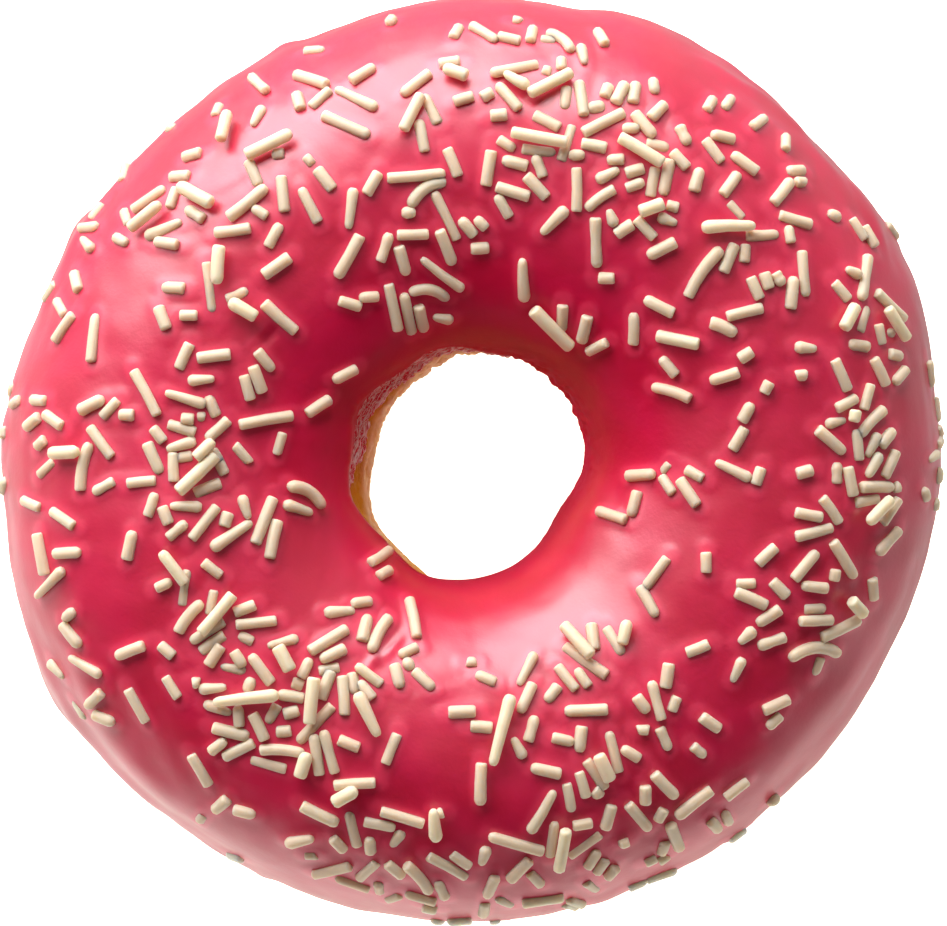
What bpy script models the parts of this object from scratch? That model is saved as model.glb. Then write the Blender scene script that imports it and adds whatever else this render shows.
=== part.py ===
"""A frosted ring doughnut: a fried dough ring with a flat spot to rest on, and a coat of icing over its top.

Both pieces are a closed section carried once round the ring. Metres, +Z up, origin at the middle of the base.
The angle round the ring runs from +X towards +Y, and the angle round a section from its outermost point
over the top to the hole.
"""

import math
from typing import NamedTuple

import bmesh
import bpy

MM = 0.001

# The ring
OUTER_RADIUS = 43.0 * MM  # bare dough, at its widest
HOLE_RADIUS = 10.9 * MM  # bare dough, at the neck of the hole
WIDEST_HEIGHT = 14.8 * MM  # height of the widest point and of the hole's neck
DOME_RISE = 15.7 * MM  # from the widest point up to the crown
BELLY_DROP = 15.5 * MM  # from the widest point down to where an unflattened belly would end
FULLNESS = 2.2  # 2 makes the section an ellipse, and more makes it squarer

# The pale line where the two fried sides meet is drawn in a little
WAIST_HEIGHT = 10.5 * MM
WAIST_SPREAD = 2.6 * MM
WAIST_DEPTH = 0.35 * MM

# The icing
ICING_THICKNESS = 1.2 * MM
ICING_LIP = 0.55 * MM  # its thickness at the edge, where it has run thin
ICING_GAP = 0.3 * MM  # the two meshes stay this far apart
OUTER_HEM_HEIGHT = 10.8 * MM  # how far down the outside the icing runs
HOLE_HEM_HEIGHT = 18.0 * MM  # and how far down into the hole

LIP_SHARPNESS = 8  # a higher power keeps the thinning closer to the edge

# How finely the pieces are cut
RING_STEPS = 72
DOUGH_STEPS = 24
ICING_STEPS = 16
SLOPE_STEP = 0.01  # the turn either side of a point over which its slope is taken
HALVINGS = 40

DOUGH_COLOUR = (0.46, 0.20, 0.055, 1.0)
DOUGH_ROUGHNESS = 0.7
ICING_COLOUR = (0.62, 0.025, 0.085, 1.0)
ICING_ROUGHNESS = 0.3


class Ripple(NamedTuple):
    """Swells evenly spaced round the ring, one of them pointing towards an angle in degrees."""

    swells: int
    reach: float
    towards: float

    def at(self, angle):
        """How far the ripple reaches at an angle in radians."""
        return self.reach * math.cos(self.swells * (angle - math.radians(self.towards)))


OUTLINE_RIPPLES = (
    Ripple(2, 0.90 * MM, 32),
    Ripple(3, 0.36 * MM, 71),
    Ripple(4, 0.24 * MM, 10),
    Ripple(5, 0.10 * MM, 15),
)
HOLE_RIPPLES = (
    Ripple(1, 0.95 * MM, -28),
    Ripple(2, 0.75 * MM, 58),
    Ripple(3, 0.24 * MM, 12),
    Ripple(7, 0.12 * MM, 49),
)
CROWN_RIPPLES = (
    Ripple(1, 0.40 * MM, 140),
    Ripple(2, 0.45 * MM, 65),
    Ripple(3, 0.30 * MM, 20),
    Ripple(5, 0.18 * MM, 50),
)
OUTER_HEM_RIPPLES = (
    Ripple(2, 0.55 * MM, 100),
    Ripple(5, 0.60 * MM, 12),
    Ripple(9, 0.50 * MM, 31),
    Ripple(14, 0.30 * MM, 5),
)
HOLE_HEM_RIPPLES = (
    Ripple(1, 6.00 * MM, 157),
    Ripple(3, 0.50 * MM, 50),
    Ripple(8, 0.35 * MM, 20),
)


def total(ripples, angle):
    """The sum of all the ripples at an angle."""
    return sum(ripple.at(angle) for ripple in ripples)


def bulged(cosine):
    """A cosine or sine, pushed out so that it draws a section of the ring's fullness."""
    return math.copysign(abs(cosine) ** (2 / FULLNESS), cosine)


def dough_point(angle, turn):
    """(radius, height) of the bare dough at an angle round the ring and a turn round its section."""
    outer = OUTER_RADIUS + total(OUTLINE_RIPPLES, angle)
    hole = HOLE_RADIUS + total(HOLE_RIPPLES, angle)
    side, rise = bulged(math.cos(turn)), bulged(math.sin(turn))
    if rise > 0:
        height = WIDEST_HEIGHT + (DOME_RISE + total(CROWN_RIPPLES, angle)) * rise
    else:
        height = WIDEST_HEIGHT + BELLY_DROP * rise
    waist = math.exp(-(((height - WAIST_HEIGHT) / WAIST_SPREAD) ** 2))
    half_width = (outer - hole) / 2 - WAIST_DEPTH * waist
    return (outer + hole) / 2 + half_width * side, max(height, 0.0)


def raised_point(angle, turn, lift):
    """A point over the dough, lifted square to the section by lift."""
    r0, z0 = dough_point(angle, turn - SLOPE_STEP)
    r1, z1 = dough_point(angle, turn + SLOPE_STEP)
    radius, height = dough_point(angle, turn)
    length = math.hypot(r1 - r0, z1 - z0)
    return radius + lift * (z1 - z0) / length, height - lift * (r1 - r0) / length


def turn_at(angle, height, low, high):
    """The turn between low and high where the dough's surface crosses a height, by halving."""
    rising = dough_point(angle, high)[1] > dough_point(angle, low)[1]
    for _ in range(HALVINGS):
        middle = (low + high) / 2
        if (dough_point(angle, middle)[1] < height) == rising:
            low = middle
        else:
            high = middle
    return (low + high) / 2


def dough_section(angle):
    """The closed outline of the dough ring's section."""
    return [dough_point(angle, math.tau * k / DOUGH_STEPS) for k in range(DOUGH_STEPS)]


def icing_section(angle):
    """The closed outline of the icing's section: its outside from the outer hem to the hole, and its inside back."""
    outer_hem = OUTER_HEM_HEIGHT + total(OUTER_HEM_RIPPLES, angle)
    hole_hem = HOLE_HEM_HEIGHT + total(HOLE_HEM_RIPPLES, angle)
    first = turn_at(angle, outer_hem, -math.pi / 2, math.pi / 2)
    last = turn_at(angle, hole_hem, math.pi / 2, 1.5 * math.pi)
    outside, inside = [], []
    for k in range(ICING_STEPS + 1):
        share = k / ICING_STEPS
        turn = first + (last - first) * share
        body = 1 - abs(2 * share - 1) ** LIP_SHARPNESS
        thickness = ICING_LIP + (ICING_THICKNESS - ICING_LIP) * body
        outside.append(raised_point(angle, turn, ICING_GAP + thickness))
        inside.append(raised_point(angle, turn, ICING_GAP))
    return outside + inside[::-1]


def swept_round(section):
    """A closed mesh: section's outline carried once round the ring."""
    mesh = bmesh.new()
    loops = []
    for step in range(RING_STEPS):
        angle = math.tau * step / RING_STEPS
        across, along = math.cos(angle), math.sin(angle)
        loops.append([mesh.verts.new((r * across, r * along, z)) for r, z in section(angle)])
    for here, there in zip(loops, loops[1:] + loops[:1]):
        for k, start in enumerate(here):
            end = (k + 1) % len(here)
            mesh.faces.new((start, there[k], there[end], here[end]))
    bmesh.ops.triangulate(mesh, faces=mesh.faces)
    bmesh.ops.recalc_face_normals(mesh, faces=mesh.faces)
    return mesh


def plain_material(name, colour, roughness):
    """A Principled material of one colour."""
    material = bpy.data.materials.new(name)
    material.use_nodes = True
    shader = material.node_tree.nodes["Principled BSDF"]
    shader.inputs["Base Color"].default_value = colour
    shader.inputs["Roughness"].default_value = roughness
    return material


def piece(name, mesh, material):
    """A smooth-shaded object made from a bmesh, in the scene's collection."""
    data = bpy.data.meshes.new(name)
    mesh.to_mesh(data)
    mesh.free()
    data.shade_smooth()
    data.materials.append(material)
    made = bpy.data.objects.new(name, data)
    bpy.context.scene.collection.objects.link(made)
    return made


def centre_on_base(pieces):
    """Slides the pieces together until the box round them is centred over the origin."""
    corners = [vertex.co for made in pieces for vertex in made.data.vertices]
    middle = [(min(c[axis] for c in corners) + max(c[axis] for c in corners)) / 2 for axis in (0, 1)]
    for made in pieces:
        for vertex in made.data.vertices:
            vertex.co.x -= middle[0]
            vertex.co.y -= middle[1]


def main():
    for old in list(bpy.data.objects):
        bpy.data.objects.remove(old)
    crust = plain_material("dough", DOUGH_COLOUR, DOUGH_ROUGHNESS)
    glaze = plain_material("icing", ICING_COLOUR, ICING_ROUGHNESS)
    dough = piece("dough_ring", swept_round(dough_section), crust)
    icing = piece("icing", swept_round(icing_section), glaze)
    centre_on_base([dough, icing])


main()
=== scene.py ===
"""The looks of a sprinkled, iced ring doughnut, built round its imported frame.

The dough gets a fried crust, the icing its hems, sags and creases, and the sprinkles are sugar strands that
are laid on the icing one by one. Metres, +Z up, origin at the middle of the base. Both in degrees, an angle
runs round the ring from +X towards +Y, and a turn runs round its section from the outermost point over the
crown to the hole.
"""

import logging
import math
import random
from collections.abc import Sequence
from dataclasses import dataclass, field
from enum import Enum

import bpy
import numpy as np
from mathutils import Matrix, Vector, noise
from mathutils.bvhtree import BVHTree


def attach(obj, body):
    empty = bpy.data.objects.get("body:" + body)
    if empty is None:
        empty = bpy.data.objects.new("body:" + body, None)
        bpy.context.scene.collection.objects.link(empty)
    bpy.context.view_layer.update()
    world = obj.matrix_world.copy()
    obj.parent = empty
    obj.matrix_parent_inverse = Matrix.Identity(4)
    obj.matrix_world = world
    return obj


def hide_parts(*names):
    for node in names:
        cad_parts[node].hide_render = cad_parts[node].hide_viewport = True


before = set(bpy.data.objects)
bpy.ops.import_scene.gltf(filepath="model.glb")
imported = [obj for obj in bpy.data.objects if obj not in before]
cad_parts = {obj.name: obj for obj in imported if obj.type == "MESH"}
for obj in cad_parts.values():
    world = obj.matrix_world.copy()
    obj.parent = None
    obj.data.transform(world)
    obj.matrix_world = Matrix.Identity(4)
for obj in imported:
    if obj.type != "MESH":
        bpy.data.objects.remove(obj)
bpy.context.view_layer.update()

MM = 0.001
UP = Vector((0, 0, 1))
HOLE_EDGE = 20 * MM  # nearer the axis than this, the surface runs down into the hole
SECTION_RADIUS = 16 * MM  # about how far the surface is from the circle through the section

LOG = logging.getLogger("doughnut")


# ---------------------------------------------------------------------------------------------------------
# Working by hand
# ---------------------------------------------------------------------------------------------------------


def hold(piece: bpy.types.Object) -> None:
    """Makes a piece the only selected one, and the active one.

    Args:
        piece: The object to work on.
    """
    bpy.ops.object.select_all(action="DESELECT")
    piece.select_set(True)
    bpy.context.view_layer.objects.active = piece


def finish_modifier(piece: bpy.types.Object, kind: str, **settings: object) -> None:
    """Adds a modifier to a piece and applies it.

    Args:
        piece: The object it goes on.
        kind: The modifier's type, such as "SUBSURF".
        settings: What to set on it first.
    """
    hold(piece)
    modifier = piece.modifiers.new(kind.title(), kind)
    for name, value in settings.items():
        setattr(modifier, name, value)
    bpy.ops.object.modifier_apply(modifier=modifier.name)


def edit_faces(piece: bpy.types.Object, chosen: np.ndarray) -> None:
    """Opens a piece in edit mode with only the chosen faces selected.

    Args:
        piece: The mesh object.
        chosen: A true or false for each of its faces.
    """
    hold(piece)
    mesh = piece.data
    bpy.context.tool_settings.mesh_select_mode = (False, False, True)
    mesh.vertices.foreach_set("select", np.zeros(len(mesh.vertices), bool))
    mesh.edges.foreach_set("select", np.zeros(len(mesh.edges), bool))
    mesh.polygons.foreach_set("select", chosen)
    bpy.ops.object.mode_set(mode="EDIT")


def close_edit() -> None:
    """Goes back to object mode."""
    bpy.ops.object.mode_set(mode="OBJECT")


def face_array(mesh: bpy.types.Mesh, name: str) -> np.ndarray:
    """Reads a vector of every face, such as its centre or normal.

    Args:
        mesh: The mesh.
        name: The property's name.

    Returns:
        One row of three numbers for each face.
    """
    values = np.empty(len(mesh.polygons) * 3, np.float32)
    mesh.polygons.foreach_get(name, values)
    return values.reshape(-1, 3).astype(float)


def frame_copy(node: str, name: str) -> bpy.types.Object:
    """Copies a frame node into a new object of clean quads, ready to be worked on.

    Args:
        node: The frame node's name.
        name: The new object's name.

    Returns:
        The new object, selected and active.
    """
    piece = bpy.data.objects.new(name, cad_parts[node].data.copy())
    bpy.context.scene.collection.objects.link(piece)
    piece.data.materials.clear()
    edit_faces(piece, np.ones(len(piece.data.polygons), bool))
    bpy.ops.mesh.remove_doubles(threshold=0.002 * MM)
    bpy.ops.mesh.tris_convert_to_quads(face_threshold=math.pi, shape_threshold=math.pi)
    close_edit()
    return piece


def dress(piece: bpy.types.Object, material: bpy.types.Material) -> None:
    """Smooths a piece's shading and gives it its only material.

    Args:
        piece: The object.
        material: What it is made of.
    """
    piece.data.shade_smooth()
    piece.data.materials.clear()
    piece.data.materials.append(material)


def smoothstep(value: np.ndarray, low: float, high: float) -> np.ndarray:
    """Rises smoothly from 0 at low to 1 at high.

    Args:
        value: Where to read it.
        low: Where the rise starts. It may be above high, and the rise is then a fall.
        high: Where the rise ends.

    Returns:
        A number from 0 to 1 for each value.
    """
    share = np.clip((value - low) / (high - low), 0, 1)
    return share * share * (3 - 2 * share)


def bump_at(value: np.ndarray, middle: float, width: float) -> np.ndarray:
    """A smooth bump of height 1 at middle, about width wide to each side."""
    return np.exp(-(((value - middle) / width) ** 2))


def round_gap(angle: np.ndarray, towards: float) -> np.ndarray:
    """How far each angle is from another, the short way round, in degrees from -180 to 180."""
    return (angle - towards + 180) % 360 - 180


def around(angle: np.ndarray, towards: float, half_length: float) -> np.ndarray:
    """A smooth bump of height 1 at one angle of the ring, about half_length degrees long to each side."""
    return bump_at(round_gap(angle, towards), 0, half_length)


def angle_at(points: np.ndarray) -> np.ndarray:
    """The angle round the ring at each point, in degrees from 0 to 360."""
    return np.degrees(np.arctan2(points[:, 1], points[:, 0])) % 360


def reach_of(points: np.ndarray) -> np.ndarray:
    """How far each point is from the axis."""
    return np.hypot(points[:, 0], points[:, 1])


# ---------------------------------------------------------------------------------------------------------
# The ring and its surface
# ---------------------------------------------------------------------------------------------------------


@dataclass(frozen=True)
class Ring:
    """The circle that runs through the middle of the ring's section.

    Attributes:
        radius: The circle's radius.
        height: Its height over the base.
    """

    radius: float
    height: float

    @classmethod
    def read(cls, node: str) -> "Ring":
        """Reads the circle from the dough's frame node.

        Args:
            node: The dough's node name.

        Returns:
            The ring.
        """
        points = np.array([vertex.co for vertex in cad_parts[node].data.vertices])
        reach = reach_of(points)
        return cls((reach.min() + reach.max()) / 2, float(points[reach.argmax(), 2]))

    def turn(self, points: np.ndarray) -> np.ndarray:
        """The turn round the section at each point, in degrees from -180 to 180."""
        return np.degrees(np.arctan2(points[:, 2] - self.height, reach_of(points) - self.radius))

    def outward(self, points: np.ndarray) -> np.ndarray:
        """Finds the direction from the circle to each point.

        Args:
            points: The points, as rows.

        Returns:
            A unit vector for each point, as rows.
        """
        angle = np.arctan2(points[:, 1], points[:, 0])
        middle = np.stack(
            [self.radius * np.cos(angle), self.radius * np.sin(angle), np.full(len(points), self.height)], 1
        )
        arm = points - middle
        return arm / np.linalg.norm(arm, axis=1)[:, None]

    def facing(self, points: np.ndarray, normals: np.ndarray) -> np.ndarray:
        """How squarely each normal points away from the circle: 1 straight away, and -1 straight at it."""
        return np.einsum("ij,ij->i", normals, self.outward(points))


class Clay:
    """A mesh's points as arrays, so that all of them can be pushed at once, as with a sculpting brush."""

    def __init__(self, piece: bpy.types.Object, ring: Ring) -> None:
        """Picks a piece's points up.

        Args:
            piece: The mesh object.
            ring: The ring that its angles and turns are read on.
        """
        self.mesh = piece.data
        count = len(self.mesh.vertices)
        flat = np.empty(count * 3, np.float32)
        self.mesh.vertices.foreach_get("co", flat)
        self.points = flat.reshape(-1, 3).astype(float)
        self.mesh.vertex_normals.foreach_get("vector", flat)
        self.normals = flat.reshape(-1, 3).astype(float)
        self.angle = angle_at(self.points)
        self.reach = reach_of(self.points)
        self.height = self.points[:, 2].copy()
        self.turn = ring.turn(self.points)
        self.facing = ring.facing(self.points, self.normals)

    def in_hole(self, deep: float = 16 * MM) -> np.ndarray:
        """Rises from 0 at the hole's edge to 1 at the points that are within deep of the axis."""
        return smoothstep(self.reach, HOLE_EDGE, deep)

    def push(self, amount: np.ndarray) -> None:
        """Moves each point along its normal, by its own amount in metres."""
        self.points += self.normals * np.asarray(amount)[:, None]

    def noise(self, size: float, seed: float, stretch: Sequence[float] = (1, 1, 1)) -> np.ndarray:
        """Reads smooth noise at each point.

        Args:
            size: How wide its lumps are, in metres.
            seed: Shifts the noise, so that two uses differ.
            stretch: How much longer the lumps are along X, Y and Z.

        Returns:
            A number from about -1 to 1 for each point.
        """
        shift = Vector((seed, 1.7 * seed, -2.3 * seed))
        scaled = self.points / (size * np.array(stretch))
        return np.array([noise.noise(Vector(point) + shift) for point in scaled])

    def ring_noise(self, along: float, across: float, seed: float) -> np.ndarray:
        """Reads noise drawn out along the ring, as in skin that has been pulled round it.

        Args:
            along: The length of its lumps along the ring, in metres.
            across: Their width round the section, in metres.
            seed: Shifts the noise.

        Returns:
            A number from about -1 to 1 for each point.
        """
        angle = np.radians(self.angle)
        wheel = np.mean(self.reach) / along
        section = np.radians(self.turn) * SECTION_RADIUS / across
        rows = zip(wheel * np.cos(angle), wheel * np.sin(angle), section + seed)
        return np.array([noise.noise(Vector(row)) for row in rows])

    def note(self, name: str, values: np.ndarray) -> None:
        """Keeps a number for each point on the mesh, for a finish to read.

        Args:
            name: The attribute's name.
            values: One number for each point.
        """
        attribute = self.mesh.attributes.get(name) or self.mesh.attributes.new(name, "FLOAT", "POINT")
        attribute.data.foreach_set("value", np.asarray(values, np.float32))

    def read(self, name: str) -> np.ndarray:
        """Reads back what note kept on the mesh.

        Args:
            name: The attribute's name.

        Returns:
            One number for each point.
        """
        values = np.empty(len(self.mesh.vertices), np.float32)
        self.mesh.attributes[name].data.foreach_get("value", values)
        return values.astype(float)

    def set_down(self) -> None:
        """Puts the points back into the mesh."""
        self.mesh.vertices.foreach_set("co", self.points.astype(np.float32).ravel())
        self.mesh.update()


@dataclass(frozen=True)
class Swell:
    """A place on the outside or in the hole where the whole ring is fuller or leaner.

    Attributes:
        towards: The angle at its middle.
        half_length: How many degrees it reaches to each side.
        rise: How far the surface is lifted there.
    """

    towards: float
    half_length: float
    rise: float

    def at(self, angle: np.ndarray) -> np.ndarray:
        """How far the surface is lifted at each angle in degrees."""
        return self.rise * around(angle, self.towards, self.half_length)

    def at_height(self, height: np.ndarray, widest: float) -> np.ndarray:
        """Keeps the swell near the widest height, so that a short one is a bump there and no upright rib.

        Args:
            height: The height of each point.
            widest: The height that the ring is widest at.

        Returns:
            How much of the swell there is at each height, from 0 to 1.
        """
        reach = min(16, 3 + 1.1 * self.half_length) * MM
        return bump_at(height, widest, reach)


OUTER_SWELLS = (
    Swell(65, 10, 0.45 * MM),
    Swell(87, 11, -0.32 * MM),
    Swell(122, 9, 0.45 * MM),
    Swell(150, 6, 0.25 * MM),
    Swell(190, 9, -0.25 * MM),
    Swell(218, 8, 0.30 * MM),
    Swell(272, 9, 0.20 * MM),
    Swell(340, 9, -0.20 * MM),
    Swell(2, 8, -0.30 * MM),
    Swell(24, 10, 0.40 * MM),
    Swell(46, 9, -0.28 * MM),
    Swell(110, 9, -0.25 * MM),
    Swell(163, 6, -0.28 * MM),
    Swell(292, 15, -0.28 * MM),
    Swell(243.7, 1.2, 0.28 * MM),
    Swell(57, 3, 0.25 * MM),
    Swell(76, 3.5, -0.38 * MM),
    Swell(114, 2.0, 0.60 * MM),
    Swell(149.5, 3.5, 0.60 * MM),
    Swell(211.5, 6, 0.85 * MM),
    Swell(286.5, 3, 0.50 * MM),
    Swell(9, 4, -0.30 * MM),
    Swell(173, 2.5, -0.35 * MM),
)
HOLE_SWELLS = (
    Swell(68, 30, 0.55 * MM),
    Swell(112, 20, 0.25 * MM),
    Swell(30, 24, 0.25 * MM),
    Swell(146, 22, 0.28 * MM),
    Swell(282, 26, -0.40 * MM),
    Swell(330, 18, 0.50 * MM),
    Swell(235, 14, 0.15 * MM),
    Swell(172, 8, 0.20 * MM),
)
# Where the bare dough of the hole's wall stands out from under the icing
BARE_LEDGE = Swell(242, 17, 0.55 * MM)


def swelled(clay: Clay, ring: Ring) -> np.ndarray:
    """How far each point is moved by the swells, as rows of offsets.

    Args:
        clay: The points.
        ring: The circle through the section.

    Returns:
        One offset for each point.
    """
    outer = sum(swell.at(clay.angle) * swell.at_height(clay.height, ring.height) for swell in OUTER_SWELLS)
    hole = sum(swell.at(clay.angle) for swell in HOLE_SWELLS)
    on_outside = smoothstep(clay.reach, ring.radius + 5 * MM, ring.radius + 14 * MM)
    off_the_table = smoothstep(clay.height, 0.5 * MM, 6 * MM)
    amount = (outer * on_outside + hole * clay.in_hole(12 * MM)) * off_the_table
    return ring.outward(clay.points) * amount[:, None]


# ---------------------------------------------------------------------------------------------------------
# Finishes
# ---------------------------------------------------------------------------------------------------------


Colour = tuple[float, float, float]


class Recipe:
    """A material that is put together node by node round one Principled shader."""

    def __init__(self, name: str) -> None:
        """Starts a material.

        Args:
            name: The material's name.
        """
        self.material = bpy.data.materials.new(name)
        self.material.use_nodes = True
        self.tree = self.material.node_tree
        self.shader = self.tree.nodes["Principled BSDF"]
        self.place = self.tree.nodes.new("ShaderNodeTexCoord").outputs["Object"]

    def set(self, **values: object) -> None:
        """Sets sockets of the shader, with each name's underscores read as spaces."""
        for name, value in values.items():
            self.shader.inputs[name.replace("_", " ")].default_value = value

    def join(self, start: bpy.types.NodeSocket, end: bpy.types.NodeSocket | str) -> None:
        """Links a socket to another, or to the shader's socket of that name."""
        self.tree.links.new(start, self.shader.inputs[end] if isinstance(end, str) else end)

    def noise(
        self,
        size: float,
        detail: float = 2,
        stretch: Sequence[float] = (1, 1, 1),
        place: bpy.types.NodeSocket | None = None,
    ) -> bpy.types.NodeSocket:
        """Adds a noise texture on the piece's own coordinates.

        Args:
            size: How wide its lumps are, in metres.
            detail: How many finer layers it has.
            stretch: How much longer the lumps are along X, Y and Z.
            place: Other coordinates to read it at.

        Returns:
            Its value's socket.
        """
        mapping = self.tree.nodes.new("ShaderNodeMapping")
        mapping.inputs["Scale"].default_value = [1 / s for s in stretch]
        texture = self.tree.nodes.new("ShaderNodeTexNoise")
        texture.inputs["Scale"].default_value = 1 / size
        texture.inputs["Detail"].default_value = detail
        self.join(place or self.place, mapping.inputs["Vector"])
        self.join(mapping.outputs["Vector"], texture.inputs["Vector"])
        return texture.outputs["Fac"]

    def combine(
        self, operation: str, first: bpy.types.NodeSocket, second: bpy.types.NodeSocket
    ) -> bpy.types.NodeSocket:
        """Adds a math node.

        Args:
            operation: What it does, such as "MULTIPLY".
            first: Its first number.
            second: Its second number.

        Returns:
            The result's socket.
        """
        node = self.tree.nodes.new("ShaderNodeMath")
        node.operation = operation
        self.join(first, node.inputs[0])
        self.join(second, node.inputs[1])
        return node.outputs[0]

    def sheet(self, *names: str) -> bpy.types.NodeSocket:
        """Joins numbers kept on the mesh into coordinates, such as those along and across a band.

        Args:
            names: The attributes' names, the first for X.

        Returns:
            The coordinates' socket.
        """
        node = self.tree.nodes.new("ShaderNodeCombineXYZ")
        for name, socket in zip(names, node.inputs):
            self.join(self.noted(name), socket)
        return node.outputs[0]

    def web(
        self, place: bpy.types.NodeSocket, size: float, stretch: float, width: float
    ) -> bpy.types.NodeSocket:
        """Adds a net of thin wandering lines.

        Args:
            place: The coordinates that it is read at.
            size: How far apart the lines are, in metres.
            stretch: How much longer its meshes are along the first coordinate.
            width: How much of the noise's range a line takes up.

        Returns:
            A number that is 1 on the lines and 0 between them.
        """
        lumps = self.noise(size, 2, (stretch, 1, 1), place)
        rising = self.range(lumps, (0.5 - width, 0.5), (0, 1))
        return self.combine("MULTIPLY", rising, self.range(lumps, (0.5, 0.5 + width), (1, 0)))

    def patches(
        self, size: float, detail: float, edges: tuple[float, float], most: float = 1
    ) -> bpy.types.NodeSocket:
        """Adds soft patches.

        Args:
            size: How wide they are, in metres.
            detail: How many finer layers their outline has.
            edges: Where in the noise a patch starts, and where it is full.
            most: The number inside a patch. Outside them it is 0.

        Returns:
            The number's socket.
        """
        return self.range(self.noise(size, detail), edges, (0, most))

    def roughen(self, size: float, detail: float, ends: tuple[float, float]) -> None:
        """Lets the shader's roughness wander between two ends, in lumps of a size in metres."""
        self.join(self.range(self.noise(size, detail), (0.3, 0.7), ends), "Roughness")

    def pores(self, size: float) -> bpy.types.NodeSocket:
        """Adds a cell texture, which is 0 in the middle of each cell.

        Args:
            size: How wide its cells are, in metres.

        Returns:
            The distance socket.
        """
        texture = self.tree.nodes.new("ShaderNodeTexVoronoi")
        texture.inputs["Scale"].default_value = 1 / size
        self.join(self.place, texture.inputs["Vector"])
        return texture.outputs["Distance"]

    def noted(self, name: str) -> bpy.types.NodeSocket:
        """Adds a reader of a number kept on the mesh.

        Args:
            name: The attribute's name.

        Returns:
            Its value's socket.
        """
        reader = self.tree.nodes.new("ShaderNodeAttribute")
        reader.attribute_name = name
        return reader.outputs["Fac"]

    def range(
        self, value: bpy.types.NodeSocket, start: tuple[float, float], end: tuple[float, float]
    ) -> bpy.types.NodeSocket:
        """Turns one range of numbers into another, and stops at its ends.

        Args:
            value: The number to change.
            start: The range that it is read in.
            end: The range that comes out.

        Returns:
            The changed number's socket.
        """
        node = self.tree.nodes.new("ShaderNodeMapRange")
        node.interpolation_type = "SMOOTHSTEP"
        self.join(value, node.inputs["Value"])
        for name, number in zip(("From Min", "From Max", "To Min", "To Max"), (*start, *end)):
            node.inputs[name].default_value = number
        return node.outputs["Result"]

    def mix(
        self,
        share: bpy.types.NodeSocket,
        first: Colour | bpy.types.NodeSocket,
        second: Colour | bpy.types.NodeSocket,
    ) -> bpy.types.NodeSocket:
        """Mixes two colours.

        Args:
            share: How much of the second shows, from 0 to 1.
            first: A colour, or a socket that gives one.
            second: The same.

        Returns:
            The mixed colour's socket.
        """
        node = self.tree.nodes.new("ShaderNodeMix")
        node.data_type = "RGBA"
        colour_inputs = [socket for socket in node.inputs if socket.type == "RGBA"]
        self.join(share, node.inputs["Factor"])
        for socket, colour in zip(colour_inputs, (first, second)):
            if isinstance(colour, tuple):
                socket.default_value = (*colour, 1)
            else:
                self.join(colour, socket)
        return next(socket for socket in node.outputs if socket.type == "RGBA")

    def relief(self, *layers: tuple[bpy.types.NodeSocket, float]) -> None:
        """Gives the shader a bump made of layers.

        Args:
            layers: Pairs of a height socket and the depth it stands for, in metres.
        """
        last = None
        for height, depth in layers:
            bump = self.tree.nodes.new("ShaderNodeBump")
            bump.inputs["Distance"].default_value = depth
            self.join(height, bump.inputs["Height"])
            if last:
                self.join(last, bump.inputs["Normal"])
            last = bump.outputs["Normal"]
        self.join(last, "Normal")


@dataclass(frozen=True)
class CrustFinish:
    """Fried dough: golden brown, mottled, with a pale line where the two fried sides meet.

    Attributes:
        golden: The crust's usual colour.
        browned: Where the fat has browned it more.
        pale: The line's colour.
        orange: The fresh cut wall of the hole.
        crumb: The floury edge along that wall.
        line_height: The line's height over the base.
        line_width: How far it reaches to each side.
    """

    golden: Colour = (0.58, 0.245, 0.048)
    browned: Colour = (0.33, 0.105, 0.016)
    pale: Colour = (0.80, 0.56, 0.30)
    orange: Colour = (0.64, 0.315, 0.006)
    crumb: Colour = (0.90, 0.76, 0.46)
    line_height: float = 10.5 * MM
    line_width: float = 3.4 * MM

    def make(self) -> bpy.types.Material:
        """Makes the material.

        Returns:
            The material.
        """
        recipe = Recipe("crust")
        mottle = recipe.patches(5 * MM, 5, (0.36, 0.68))
        speckle = recipe.patches(0.9 * MM, 3, (0.5, 0.75), 0.45)
        body = recipe.mix(mottle, self.golden, self.browned)
        body = recipe.mix(speckle, body, self.browned)
        body = recipe.mix(recipe.noted("pale_line"), body, self.pale)
        body = recipe.mix(recipe.noted("cut_wall"), body, self.orange)
        body = recipe.mix(recipe.noted("floury"), body, self.crumb)
        recipe.join(body, "Base Color")
        recipe.roughen(2 * MM, 2, (0.42, 0.68))
        recipe.set(Subsurface_Weight=0.2, Subsurface_Radius=(1.0, 0.45, 0.2), Subsurface_Scale=1.5 * MM)
        recipe.set(Specular_IOR_Level=0.4)
        recipe.relief((recipe.noise(0.55 * MM, 4), 0.22 * MM), (recipe.pores(1.3 * MM), 0.12 * MM))
        return recipe.material


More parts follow.
